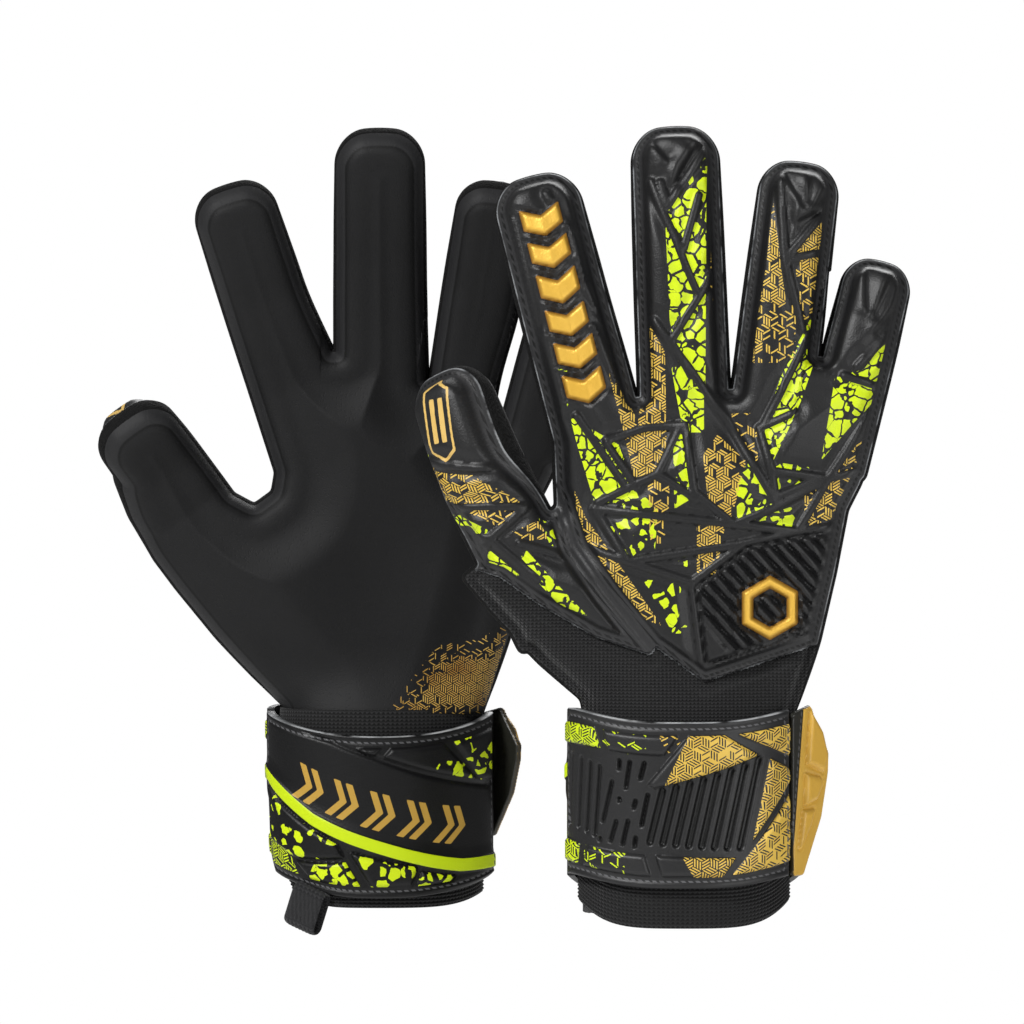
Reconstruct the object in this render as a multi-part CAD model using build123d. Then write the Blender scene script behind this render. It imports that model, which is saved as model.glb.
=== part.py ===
"""A pair of goalkeeper gloves standing on their cuffs, fingers up.

Each glove is built in its own frame: +X across the hand towards the little finger, +Y out of the palm, +Z up
the hand, with its origin in the middle of the cuff's lower rim. The right glove turns its back to -Y, the left
glove is its mirror image and turns its palm to -Y. All lengths are in millimetres and all angles in degrees.
"""

from build123d import *
from collections import namedtuple
from math import cos, radians, sin, tan
import os

# ---- The pair ----
PAIR_STEP = 103.0  # sideways distance between the two cuffs
PAIR_GAP = 120.0  # distance between the two gloves' middle planes
ORIGIN_SHIFT = (13.14, 0.0, 11.0)  # puts the frame's origin under the middle of the pair

# ---- Cuff: knitted bandage, wrap-round strap, tab and finger loop ----
BAND_HALF = (35.5, 22.0)  # outer half width and half depth
BAND_WALL = 2.4
BAND_TOP = 68.0
HOOK_GAP = 1.2  # room for the hook patch between bandage and strap
STRAP_WALL = 2.8
STRAP_MIDDLE, STRAP_HEIGHT = 37.5, 56.0
STRAP_SLANT = 10.0  # the strap sits lower on the palm side
STRAP_END_GAP = 2.0  # slit between wrap and flap beside the flap's hinge
WRAP_END_ANGLE = 8.0  # where the wrap is sewn down, from +X towards the palm
FLAP_END_ANGLE = -26.0  # where the flap ends, from +X towards the back
HOOK_SPAN = (-95.0, -30.0)  # stretch of the flap that the hook patch covers
TAB_WALL = 2.2
TAB_TILT = 52.0  # the tab turns this far from +X towards the palm
TAB_OUTLINE = [(0.6, 14), (0.6, 71), (4, 73), (18, 54), (17, 42), (13, 28), (8, 14)]
LOOP_WIDTH, LOOP_LENGTH, LOOP_THICK, LOOP_WEB = 13.0, 16.0, 6.0, 1.2
LOOP_HINGE = 2.0
LOOP_LIFT = {"left": 0, "right": 75}  # the right loop stands out behind its cuff, the left one hangs
LOOP_ANGLE = 139.0  # place on the rim, from +X towards the palm

# ---- Hand ----
WRIST_HINGE = 72.0
HAND_LOW = 76.0
HAND_HALF_PALM, HAND_HALF_BACK = 16.0, 17.0
LATEX, BACK_FOAM, LINING = 4.5, 4.5, 1.2
SEAM_GAP = 0.4  # keeps sewn layers apart
LITTLE_SIDE = [(41, HAND_LOW), (45, 88), (47, 104), (51, 124), (58, 146)]
WEBS = [(40, 157), (16, 172), (-16, 176)]
THUMB_SIDE = [(-45, 165), (-46, 141), (-74, 118), (-62, 104), (-48, 88), (-36, HAND_LOW)]
BACK_EDGE = [(-62, 108), (-30, 92), (6, 79), (48, 92)]  # lower edge of the embossed back

# ---- Digits ----
FINGER_HALF_PALM, FINGER_HALF_BACK = 11.0, 12.0
KNUCKLE = 8.0  # knuckle crease above the root line
ROOT = 16.0  # the hand solid takes in the digit this far below its root
TIP_ROUND = 13.0
SIDE_CLEARANCE = 0.6  # each finger's flank stands back from its neighbour's
CREASE_GAP = 0.5
KNUCKLE_RANGE = (-10.0, 50.0)
MIDDLE_RATIO = 1.3  # the middle crease folds this much for each degree at the knuckle
BACK_OPENING = 8.0  # half angle that both creases leave for bending backwards

Digit = namedtuple("Digit", "name root lean roll curl width length middle")


def digits(glove):
    """The five digits. The gloves differ in how far theirs lean, roll and curl (at knuckle, at middle) at rest."""
    if glove == "right":
        index, middle, ring, little = (-14.5, (3, 5)), (-2, (4, 6)), (6.5, (3, 5)), (13, (4, 6))
        thumb = (-26, (4, 6), -30)
    else:
        index, middle, ring, little = (-14.5, (9, 13)), (0, (8, 11)), (8.5, (13, 17)), (15, (10, 13))
        thumb = (-38, (20, 20), 0)
    return [
        Digit("index", (-31.5, 172), index[0], 0, index[1], 31, 81, 43),
        Digit("middle", (0, 175), middle[0], 0, middle[1], 31, 94, 49),
        Digit("ring", (29.5, 173), ring[0], 0, ring[1], 27, 84, 44),
        Digit("little", (51, 156), little[0], 0, little[1], 24, 70, 36),
        Digit("thumb", (-56, 127), thumb[0], thumb[2], thumb[1], 32, 65, 34),
    ]


# ---- Frames ----


def turned(vector, axis, angle):
    return vector.rotate(Axis((0, 0, 0), tuple(axis)), angle)


def digit_planes(digit):
    """Frames at the knuckle and middle creases: x across, y out of the palm, z along the digit."""
    along = Vector(sin(radians(digit.lean)), 0, cos(radians(digit.lean)))
    palm = turned(Vector(0, 1, 0), along, digit.roll)
    across = palm.cross(along)
    root = Vector(digit.root[0], 0, digit.root[1])
    knuckle = root + along * KNUCKLE
    along, palm = (turned(vector, -across, digit.curl[0]) for vector in (along, palm))
    base = Plane(origin=knuckle, x_dir=across, z_dir=along)
    middle = knuckle + along * (digit.middle - KNUCKLE)
    along = turned(along, -across, digit.curl[1])
    return base, Plane(origin=middle, x_dir=across, z_dir=along)


def rim_point(half, angle):
    return Vector(half[0] * cos(radians(angle)), half[1] * sin(radians(angle)), 0)


# ---- Building blocks ----


def flat(points):
    """A face in the hand's plane from (x, z) points."""
    return Plane.XZ * make_face(Polyline(*points, close=True))


def slab(face, height):
    """The face thickened towards the back of the hand, -Y."""
    return extrude(face, amount=height, dir=(0, -1, 0))


def strip(digit, low, high, margin):
    """The digit's flat outline between two distances from its root, narrowed by margin on each side."""
    along = Vector(sin(radians(digit.lean)), 0, cos(radians(digit.lean)))
    across = Vector(along.Z, 0, -along.X)
    root = Vector(digit.root[0], 0, digit.root[1])
    half = digit.width / 2 - margin
    corners = [
        root + along * reach + across * side
        for reach, side in ((low, -half), (low, half), (high, half), (high, -half))
    ]
    return flat([(p.X, p.Z) for p in corners])


def crease_cut(width, palm_angle, upper):
    """The wedge taken off one side of a crease, in the crease's own frame. It opens on both faces."""
    reach = 40.0
    sign = 1 if upper else -1
    profile = [
        (reach, sign * (CREASE_GAP + reach * tan(radians(palm_angle)))),
        (0, sign * CREASE_GAP),
        (-reach, sign * (CREASE_GAP + reach * tan(radians(BACK_OPENING)))),
        (-reach, -sign * reach),
        (reach, -sign * reach),
    ]
    face = Plane.YZ * make_face(Polyline(*profile, close=True))
    return extrude(face, amount=width / 2 + 1.5, both=True)


def tube(half, wall, low, high):
    """An upright elliptical tube."""
    ring = Ellipse(*half) - Ellipse(half[0] - wall, half[1] - wall)
    return Pos(0, 0, low) * extrude(ring, amount=high - low)


def sector(start, end):
    """A tall wedge about the cuff's centre line between two angles, to cut a tube with."""
    reach = 90.0
    steps = [start + (end - start) * i / 6 for i in range(7)]
    rays = [(reach * cos(radians(a)), reach * sin(radians(a))) for a in steps]
    face = make_face(Polyline((0, 0), *rays, close=True))
    return Pos(0, 0, -20) * extrude(face, amount=130)


# ---- Hand ----


def hand_outline():
    return flat(LITTLE_SIDE + WEBS + THUMB_SIDE)


def hand_face(glove):
    """The hand's outline with the digits' stubs up to their knuckle creases."""
    face = hand_outline()
    for digit in digits(glove):
        face += strip(digit, -ROOT, KNUCKLE + 6, SIDE_CLEARANCE)
    return face


def hand_cavity(glove, height, margin):
    """The space for the hand on one side of the middle plane, open at the wrist and into every digit."""
    inset = offset(hand_outline(), amount=-margin)
    space = slab(inset, height)
    for digit in digits(glove):
        space += slab(strip(digit, -ROOT, KNUCKLE + 12, margin), height)
    wrist = flat([(-36 + margin, 60), (41 - margin, 60), (41 - margin, 90), (-36 + margin, 90)])
    return space + slab(wrist, height)


def cut_knuckles(solid, glove):
    """The hand piece below the knuckle creases, without the sliver that a rolled thumb's crease cuts free."""
    for digit in digits(glove):
        base = digit_planes(digit)[0]
        solid -= base.location * crease_cut(digit.width, KNUCKLE_RANGE[1] / 2, upper=False)
    return max(solid.solids(), key=lambda piece: piece.volume)


def palm_latex(glove):
    outer = slab(hand_face(glove), HAND_HALF_PALM)
    shell = outer - hand_cavity(glove, HAND_HALF_PALM - LATEX, LATEX)
    return cut_knuckles(mirror(shell, about=Plane.XZ), glove)


def back_region():
    """The part of the hand's plane above the embossed back's lower edge."""
    return flat([(-95, 120)] + BACK_EDGE + [(90, 100), (90, 220), (-95, 220)])


def backhand_panel(glove):
    outer = slab(hand_face(glove) & back_region(), HAND_HALF_BACK)
    shell = outer - hand_cavity(glove, HAND_HALF_BACK - BACK_FOAM, BACK_FOAM)
    return cut_knuckles(Pos(0, -SEAM_GAP, 0) * shell, glove)


def wrist_mesh(glove):
    region = offset(back_region(), amount=SEAM_GAP)
    outer = slab(hand_outline() - region, HAND_HALF_BACK - 1)
    shell = outer - hand_cavity(glove, HAND_HALF_BACK - BACK_FOAM, BACK_FOAM)
    return Pos(0, -SEAM_GAP, 0) * shell


def hand_lining(glove):
    """The soft sleeve inside the hand, from the wrist to the roots of the fingers."""
    inset = LATEX + SEAM_GAP
    outline = offset(hand_outline(), amount=-inset)
    inside = offset(hand_outline(), amount=-inset - LINING)
    mouth = flat([(-28, 60), (33, 60), (33, 90), (-28, 90)])
    above = flat([(-90, 150), (90, 150), (90, 220), (-90, 220)])
    low, high = HAND_HALF_PALM - inset, HAND_HALF_BACK - inset
    sleeve = slab(outline - above, high) + mirror(slab(outline - above, low), about=Plane.XZ)
    space = slab(inside + mouth, high - LINING)
    space += mirror(slab(inside + mouth, low - LINING), about=Plane.XZ)
    return cut_knuckles(sleeve - space, glove)


# ---- Digits ----


def segment_face(digit, length, tip, margin):
    """A digit segment's outline in its own crease frame, with a rounded end on a tip segment."""
    half = digit.width / 2 - margin
    top = length - margin if tip else length
    if not tip:
        return flat([(-half, -8), (half, -8), (half, top), (-half, top)])
    shoulder = top - TIP_ROUND
    outline = Polyline((-half, shoulder), (-half, -8), (half, -8), (half, shoulder))
    outline += ThreePointArc((half, shoulder), (0, top), (-half, shoulder))
    return Plane.XZ * make_face(outline)


def segment_half(digit, tip, height, wall):
    """One face of a digit segment: an open shell towards -Y with room inside for the finger."""
    length = digit.length - digit.middle if tip else digit.middle - KNUCKLE
    reach = length if tip else length + 20
    inside = segment_face(digit, reach, tip, SIDE_CLEARANCE + wall)
    shell = slab(segment_face(digit, reach, tip, SIDE_CLEARANCE), height) - slab(inside, height - wall)
    return shell, length


def segment(digit, tip, palm_side):
    height = FINGER_HALF_PALM if palm_side else FINGER_HALF_BACK
    shell, length = segment_half(digit, tip, height, LATEX if palm_side else BACK_FOAM)
    solid = mirror(shell, about=Plane.XZ) if palm_side else Pos(0, -SEAM_GAP, 0) * shell
    half_fold = KNUCKLE_RANGE[1] / 2 * (MIDDLE_RATIO if tip else 1)
    solid -= crease_cut(digit.width, half_fold, upper=True)
    if not tip:
        next_fold = KNUCKLE_RANGE[1] / 2 * MIDDLE_RATIO
        turn = Pos(0, 0, length) * Rot(-digit.curl[1], 0, 0)
        solid -= turn * crease_cut(digit.width, next_fold, upper=False)
    return solid


def digit_parts(glove):
    parts = {}
    for digit in digits(glove):
        planes = digit_planes(digit)
        for tip, plane in zip((False, True), planes):
            place = "tip" if tip else "base"
            for palm_side, skin in ((True, "latex"), (False, "back")):
                name = f"{digit.name}_{place}_{skin}"
                parts[name] = plane.location * segment(digit, tip, palm_side)
    return parts


# ---- Cuff ----

STRAP_INNER = tuple(h + HOOK_GAP for h in BAND_HALF)
STRAP_OUTER = tuple(h + STRAP_WALL for h in STRAP_INNER)
FLAP_HINGE = Vector(-(STRAP_INNER[0] + STRAP_WALL / 2), 0, 0)
TAB_HINGE = rim_point([h - STRAP_WALL / 2 for h in STRAP_OUTER], FLAP_END_ANGLE + 4)


def bandage():
    return tube(BAND_HALF, BAND_WALL, 0, BAND_TOP)


def slanted(half, wall, height, start, end):
    """Part of an elliptical band that lies round the cuff at the strap's slant."""
    layer = Pos(0, 0, STRAP_MIDDLE) * Rot(-STRAP_SLANT, 0, 0) * Box(200, 200, height)
    return tube(half, wall, 0, 90) & layer & sector(start, end)


def strap_wrap():
    slit = Box(12, 2 * STRAP_END_GAP, 200)
    wrap = slanted(STRAP_OUTER, STRAP_WALL, STRAP_HEIGHT, WRAP_END_ANGLE, 180)
    return wrap - Pos(-STRAP_OUTER[0], 0, 0) * slit


def strap_flap():
    return slanted(STRAP_OUTER, STRAP_WALL, STRAP_HEIGHT, -180, FLAP_END_ANGLE)


def hook_patch():
    half = tuple(h - SEAM_GAP / 4 for h in STRAP_INNER)
    return slanted(half, HOOK_GAP - SEAM_GAP / 2, STRAP_HEIGHT - 12, *HOOK_SPAN)


def pull_tab():
    plate = extrude(flat(TAB_OUTLINE), amount=TAB_WALL / 2, both=True)
    return Pos(TAB_HINGE.X, TAB_HINGE.Y, 0) * Rot(0, 0, TAB_TILT) * plate


def loop_frame():
    """Where the finger loop hangs: x along the rim, y outwards, z up."""
    clear = LOOP_THICK / 2 + SEAM_GAP
    point = rim_point(BAND_HALF, LOOP_ANGLE)
    outward = Vector(point.X / BAND_HALF[0] ** 2, point.Y / BAND_HALF[1] ** 2, 0).normalized()
    origin = point + outward * clear + Vector(0, 0, LOOP_HINGE)
    return Plane(origin=origin, x_dir=outward.cross(Vector(0, 0, 1)), z_dir=(0, 0, 1))


def pull_loop(glove):
    centre = Pos(0, (LOOP_THICK - LOOP_LENGTH) / 2)
    outer = RectangleRounded(LOOP_THICK, LOOP_LENGTH, LOOP_THICK / 2 - 0.1)
    inner = LOOP_THICK - 2 * LOOP_WEB
    eye = RectangleRounded(inner, LOOP_LENGTH - 2 * LOOP_WEB, inner / 2 - 0.1)
    band = extrude(Plane.YZ * centre * (outer - eye), amount=LOOP_WIDTH / 2, both=True)
    return loop_frame().location * Rot(LOOP_LIFT[glove], 0, 0) * band


def glove_parts(glove):
    parts = {
        "palm_latex": palm_latex(glove),
        "backhand_panel": backhand_panel(glove),
        "wrist_mesh": wrist_mesh(glove),
        "hand_lining": hand_lining(glove),
        "bandage": bandage(),
        "strap_wrap": strap_wrap(),
        "strap_flap": strap_flap(),
        "hook_patch": hook_patch(),
        "pull_tab": pull_tab(),
        "pull_loop": pull_loop(glove),
    }
    parts.update(digit_parts(glove))
    return parts


# ---- The pair ----


def glove_place(glove):
    """The cuff's centre in the pair's frame."""
    side = 1 if glove == "right" else -1
    return Vector(side * PAIR_STEP / 2, -side * PAIR_GAP / 2, 0) + Vector(*ORIGIN_SHIFT)


def in_pair(glove, shape):
    if glove == "left":
        shape = mirror(shape, about=Plane.XZ)
    return Pos(*glove_place(glove)) * shape


def main():
    os.makedirs("parts", exist_ok=True)
    for glove in ("left", "right"):
        for name, shape in glove_parts(glove).items():
            export_step(in_pair(glove, shape), f"parts/{glove}_{name}.step")


if __name__ == "__main__":
    main()
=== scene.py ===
"""Looks of a pair of goalkeeper gloves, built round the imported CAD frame.

Each glove is worked out in the right glove's own frame, in millimetres: +X towards the little finger, +Y
out of the palm, +Z up the hand, with its origin in the middle of the cuff's rim. The latex sheets are height
fields over the hand's flat outline. They are bent to the digits' resting curl and then carried into the
pair's frame, where the left glove is the mirror image.
"""

from collections import namedtuple
from math import cos, hypot, pi, radians, sin

import bpy
import numpy as np
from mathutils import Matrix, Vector


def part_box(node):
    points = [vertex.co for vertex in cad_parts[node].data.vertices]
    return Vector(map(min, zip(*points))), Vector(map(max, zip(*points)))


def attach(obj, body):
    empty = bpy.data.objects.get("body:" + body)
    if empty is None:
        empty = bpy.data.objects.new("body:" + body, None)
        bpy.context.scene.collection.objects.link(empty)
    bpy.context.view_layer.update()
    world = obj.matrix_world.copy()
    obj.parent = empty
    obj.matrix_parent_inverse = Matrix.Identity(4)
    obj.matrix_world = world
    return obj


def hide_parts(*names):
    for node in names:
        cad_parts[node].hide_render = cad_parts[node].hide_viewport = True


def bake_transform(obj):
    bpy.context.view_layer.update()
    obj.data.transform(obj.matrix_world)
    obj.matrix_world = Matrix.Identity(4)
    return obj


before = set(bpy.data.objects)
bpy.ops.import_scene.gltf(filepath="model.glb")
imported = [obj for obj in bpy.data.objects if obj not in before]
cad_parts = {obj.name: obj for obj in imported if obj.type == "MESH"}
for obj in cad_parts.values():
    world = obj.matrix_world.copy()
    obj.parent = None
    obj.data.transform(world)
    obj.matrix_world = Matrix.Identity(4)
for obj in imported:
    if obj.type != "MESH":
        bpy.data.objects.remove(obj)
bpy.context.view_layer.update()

MM = 0.001
GLOVES = ("left", "right")

# ---- Driving sizes, in millimetres and degrees: the outlines are the CAD's ----

GRID = 0.65  # spacing of the latex sheets' points
EDGE_INSET = 1.4  # the sheets stop this far inside the gussets' outermost line
SHEET_LOW = 50.0  # the sheets start inside the strap
PALM_EDGE = 66.5  # lower edge of the palm latex
FLANGE = 2.9  # flat stitched border of the embossed foam
SLEEVE = [(-34, 40), (36, 40), (36.5, 64)]
LITTLE_SIDE = [(40.5, 76), (46.4, 95.5), (51.6, 118), (55.6, 139), (61.2, 150)]
WEBS = [(40, 160), (14.5, 176.5), (-16, 176.5)]
THUMB_SIDE = {
    "right": [(-45, 165), (-44, 141), (-76, 117), (-64, 103), (-49, 87), (-36, 75), (-34.5, 64)],
    "left": [(-38, 165), (-36.5, 152), (-38, 143), (-43.5, 139), (-50, 142.5), (-62, 145), (-88, 152),
             (-93.2, 149.5), (-92.2, 146), (-87.5, 134), (-78.5, 118.5), (-71, 108.5), (-57.5, 92), (-45, 78),
             (-34.5, 67)],
}
BACK_EDGE = [  # lower edge of the embossed back
    (-100, 128), (-62, 117), (-49, 108), (-30, 97), (-11.5, 91), (-9.5, 93.5), (6.4, 82), (42, 93.5), (62, 99)
]
THUMB_SEAM = [(-45, 150), (-41.5, 141), (-37, 127), (-26, 111.5), (-11, 93)]
CUFF_HALF = (35.5, 22.0)
STRAP_HALF = (36.7, 23.2)  # the strap's inner face
STRAP_WALL = 2.8
STRAP_TALL = 55.5
STRAP_THREAD = 2.3  # the strap's seams run this far inside its edges
STRAP_START = -39.3  # both halves of the strap start here, at the thumb side
WRAP_END, FLAP_END = 8.0, -26.0  # where they end, from +X towards the palm
TAB_TILT = 52.0
TAB_OUTLINE = [
    (0.4, 16.5), (0.4, 71.5), (7.6, 73.3), (10.4, 74.2), (20.6, 58), (20.2, 50.8), (16.5, 36), (6.4, 16.8)
]
BAND_WALL, BAND_TOP = 2.4, 68.0
RIDGE_STEP = 1.25  # pitch of the bandage's knitted ridges

Digit = namedtuple("Digit", "name root lean roll curl width length middle free flare")


def digits(glove):
    """The five digits; free is where each one leaves the hand, and flare is how much its foot widens."""
    if glove == "right":
        return [
            Digit("index", (-31, 172), -14.5, 0, (3, 5), 32.0, 83, 43, 3, 0.8),
            Digit("middle", (0, 175), -2, 0, (4, 6), 32.0, 94.4, 49, 3, 0.2),
            Digit("ring", (29, 173), 7.3, 0, (3, 5), 29.4, 84.8, 44, 3, 0),
            Digit("little", (49.8, 156), 14, 0, (4, 6), 25.8, 70, 36, 3, 0),
            Digit("thumb", (-56, 127), -26, -30, (4, 6), 31.0, 65, 34, 9, 0.8),
        ]
    return [
        Digit("index", (-28.1, 172), -17.8, 0, (9, 13), 31.0, 83.8, 43, 3, 3.2),
        Digit("middle", (0, 175), 0, 0, (8, 11), 33.0, 96, 49, 3, 0.6),
        Digit("ring", (29.5, 173), 8.5, 0, (13, 17), 29.0, 83, 44, 3, -3.6),
        Digit("little", (51, 156), 15, 0, (10, 13), 25.4, 70, 36, 3, 0.6),
        Digit("thumb", (-57.2, 126), -35.8, 0, (20, 20), 31.0, 61, 34, 9, 0),
    ]


def glove_place(glove):
    """The middle of a cuff's rim in the row frame, in metres."""
    low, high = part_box(glove + "_bandage")
    return np.array([(low[0] + high[0]) / 2, (low[1] + high[1]) / 2, low[2]])


def to_pair(glove, points):
    """Glove-frame points in millimetres, carried into the row frame in metres."""
    side = np.array([1, -1 if glove == "left" else 1, 1])
    return np.asarray(points) * side * MM + glove_place(glove)


# ---- Distances over the flat glove: all are in millimetres and positive inside ----


def smooth(value):
    """An even rise from 0 at 0 to 1 at 1, level outside."""
    value = np.clip(value, 0, 1)
    return value * value * (3 - 2 * value)


def ramp(value, start, end):
    """smooth, but from start to end."""
    return smooth((value - start) / (end - start))


def bell(value):
    """1 at 0, dying away on both sides."""
    return np.exp(-(value**2))


def dome(value):
    """A rounded shoulder that starts steep at 0 and is level from 1 on."""
    rest = 1 - np.clip(value, 0, 1)
    return (1 - rest**2.4) ** 0.62


def segment_distance(x, z, start, end):
    """Distance to a straight line between two points."""
    ax, az = start
    dx, dz = end[0] - ax, end[1] - az
    share = np.clip(((x - ax) * dx + (z - az) * dz) / (dx * dx + dz * dz), 0, 1)
    return np.hypot(x - ax - share * dx, z - az - share * dz)


def lines_distance(x, z, lines):
    """Distance to the nearest of several broken lines."""
    distance = np.full(np.shape(x), 99.0)
    for line in lines:
        for start, end in zip(line, line[1:]):
            distance = np.minimum(distance, segment_distance(x, z, start, end))
    return distance


def folded_steps(x, z, lines):
    """Steps of a folded sheet: up on the left of each line and down on its right, fading both ways."""
    total = 0 * x
    for line in lines:
        for (ax, az), (bx, bz) in zip(line, line[1:]):
            length = hypot(bx - ax, bz - az)
            along = ((x - ax) * (bx - ax) + (z - az) * (bz - az)) / length
            side = ((z - az) * (bx - ax) - (x - ax) * (bz - az)) / length
            fade = 1 - ramp(np.abs(side), FOLD_EDGE, FOLD_FADE)
            total += np.tanh(side / FOLD_EDGE) * fade * ramp(np.minimum(along, length - along), -1, 2)
    return total


def polygon_depth(x, z, points):
    """Distance to a closed outline, negative outside it."""
    distance = lines_distance(x, z, [points + points[:1]])
    inside = np.zeros(np.shape(x), bool)
    for (ax, az), (bx, bz) in zip(points, points[1:] + points[:1]):
        if az != bz:
            inside ^= ((az > z) != (bz > z)) & (x < (bx - ax) * (z - az) / (bz - az) + ax)
    return np.where(inside, distance, -distance)


def regions_depth(x, z, regions):
    """Depth inside the nearest of several (density, outline) regions, and that region's density."""
    depths = np.array([polygon_depth(x, z, outline) for _, outline in regions])
    densities = np.array([density for density, _ in regions])
    return depths.max(0), densities[depths.argmax(0)]


def digit_coordinates(digit, x, z):
    """Distance along the digit from its root, and sideways from its centre line."""
    lean = radians(digit.lean)
    dx, dz = x - digit.root[0], z - digit.root[1]
    return dx * sin(lean) + dz * cos(lean), dx * cos(lean) - dz * sin(lean)


def digit_depth(digit, x, z):
    """A straight digit with a round tip, whose foot runs down into the hand."""
    along, across = digit_coordinates(digit, x, z)
    foot = -5 if digit.name == "little" else -34
    half = digit.width / 2 + digit.flare * (across > 0) * (1 - ramp(along, 4, 42)) - 0.2 * ramp(along, 30, 60)
    corner = 0.34 * digit.width
    side = np.abs(across) - half + corner
    over = along + 2.6 * (across / half) ** 2 - digit.length + corner
    tip = corner - np.hypot(np.maximum(side, 0), np.maximum(over, 0)) - np.minimum(np.maximum(side, over), 0)
    return np.minimum(tip, along - foot)


def back_region_depth(x, z):
    """Depth inside the part of the hand that the embossed back covers."""
    return polygon_depth(x, z, BACK_EDGE + [(110, 99), (110, 320), (-130, 320), (-130, 128)])


def hand_depth(glove, x, z):
    """Depth inside the whole hand: its palm and five digits."""
    inside = polygon_depth(x, z, SLEEVE + LITTLE_SIDE + WEBS + THUMB_SIDE[glove])
    for digit in digits(glove):
        inside = np.maximum(inside, digit_depth(digit, x, z))
    return inside


# ---- Nets: outlines filled with quads ----

Net = namedtuple("Net", "x z quads rim")


def blur(field, width, step):
    """The field averaged over its near neighbours, which rounds an outline's corners."""
    reach = int(3 * width / step)
    weights = bell(np.arange(-reach, reach + 1) * step / width / 1.41)
    weights /= weights.sum()
    for axis in (0, 1):
        pad = [(reach, reach) if k == axis else (0, 0) for k in (0, 1)]
        padded = np.pad(field, pad, "edge")
        field = sum(w * np.take(padded, range(k, k + field.shape[axis]), axis) for k, w in enumerate(weights))
    return field


def pull_to_zero(x, z, chosen, depth):
    """Moves the chosen points onto a depth function's zero line."""
    small = 0.2
    for _ in range(4):
        px, pz = x[chosen], z[chosen]
        value = depth(px, pz)
        gx = (depth(px + small, pz) - depth(px - small, pz)) / (2 * small)
        gz = (depth(px, pz + small) - depth(px, pz - small)) / (2 * small)
        size = np.maximum(gx * gx + gz * gz, 0.3)
        x[chosen] = px - value * gx / size
        z[chosen] = pz - value * gz / size


def rim_of(quads):
    """The outline of a patch of quads as one ordered loop of point numbers."""
    ends = [(quads[:, k], quads[:, (k + 1) % 4]) for k in range(4)]
    starts, stops = (np.concatenate(side).tolist() for side in zip(*ends))
    edges = set(zip(starts, stops))
    following = {a: b for a, b in edges if (b, a) not in edges}
    loop = [min(following)]
    while following[loop[-1]] != loop[0]:
        loop.append(following[loop[-1]])
    return np.array(loop)


def fill_net(depth, x_range, z_range, step, round_by=0.0, lines=()):
    """A net over a depth function. Points near the outline, or near another depth's zero, are put on it."""
    xs, zs = np.arange(*x_range, step), np.arange(*z_range, step)
    x, z = np.meshgrid(xs, zs)
    field = depth(x, z)
    if round_by:
        field = blur(field, round_by, step)
        depth = grid_reader(field, xs, zs, step)
    keep = field > -0.5 * step
    full = keep[:-1, :-1] & keep[1:, :-1] & keep[:-1, 1:] & keep[1:, 1:]
    number = np.arange(x.size).reshape(x.shape)
    quads = np.stack([number[:-1, :-1], number[:-1, 1:], number[1:, 1:], number[1:, :-1]], -1)[full]
    used, quads = np.unique(quads, return_inverse=True)
    quads = quads.reshape(-1, 4)
    x, z = x.ravel()[used], z.ravel()[used]
    rim = rim_of(quads)
    for line in lines:
        pull_to_zero(x, z, np.flatnonzero(np.abs(line(x, z)) < 0.5 * step), line)
    free = rim[z[rim] > z_range[0] + 0.5 * step]
    pull_to_zero(x, z, free, depth)
    return Net(x, z, quads, rim)


def grid_reader(field, xs, zs, step):
    """The gridded field as a function of place, by linear interpolation."""

    def read(x, z):
        """The field's value at any place inside its grid."""
        column = np.clip((x - xs[0]) / step, 0, len(xs) - 1.001)
        row = np.clip((z - zs[0]) / step, 0, len(zs) - 1.001)
        i, j = column.astype(int), row.astype(int)
        u, v = column - i, row - j
        low = field[j, i] * (1 - u) + field[j, i + 1] * u
        high = field[j + 1, i] * (1 - u) + field[j + 1, i + 1] * u
        return low * (1 - v) + high * v

    return read


# ---- The flat glove ----

Flat = namedtuple("Flat", "x z quads rim depth label along across")


def rim_distance(x, z, rim):
    """Each point's distance to a rim of numbered points, worked out a few thousand points at a time."""
    ax, az, bx, bz = x[rim[:-1]], z[rim[:-1]], x[rim[1:]], z[rim[1:]]
    dx, dz = bx - ax, bz - az
    size = np.maximum(dx * dx + dz * dz, 1e-9)
    depth = np.empty(x.shape)
    for start in range(0, len(x), 4000):
        part = slice(start, start + 4000)
        px, pz = x[part, None], z[part, None]
        share = np.clip(((px - ax) * dx + (pz - az) * dz) / size, 0, 1)
        depth[part] = np.sqrt(((px - ax - share * dx) ** 2 + (pz - az - share * dz) ** 2).min(1))
    return depth


def label_digits(glove, x, z):
    """Which digit each point belongs to, -1 for the hand, and its distances along and across that digit."""
    label = np.full(x.shape, -1)
    along, across = np.zeros(x.shape), np.zeros(x.shape)
    for k, digit in enumerate(digits(glove)):
        u, v = digit_coordinates(digit, x, z)
        outside = 14 if digit.name == "thumb" else 4
        mine = (u > digit.free - 0.01) & (v < digit.width / 2 + 1.2) & (v > -digit.width / 2 - outside)
        label[mine], along[mine], across[mine] = k, u[mine], v[mine]
    return label, along, across


def flat_glove(glove):
    """The flat outline's net, with the depth inside its rim, which is open where the sleeve starts."""
    net = fill_net(
        lambda x, z: hand_depth(glove, x, z) - EDGE_INSET,
        (-112, 90), (SHEET_LOW, 286), GRID, round_by=0.75, lines=[back_region_depth],
    )
    rim = net.rim
    bottom = net.z[rim] < SHEET_LOW + 0.5 * GRID
    rim = np.roll(rim, -int(np.argmax(bottom & ~np.roll(bottom, -1))))
    rim = rim[net.z[rim] > SHEET_LOW + 0.5 * GRID]
    depth = rim_distance(net.x, net.z, rim)
    return Flat(net.x, net.z, net.quads, rim, depth, *label_digits(glove, net.x, net.z))


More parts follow.
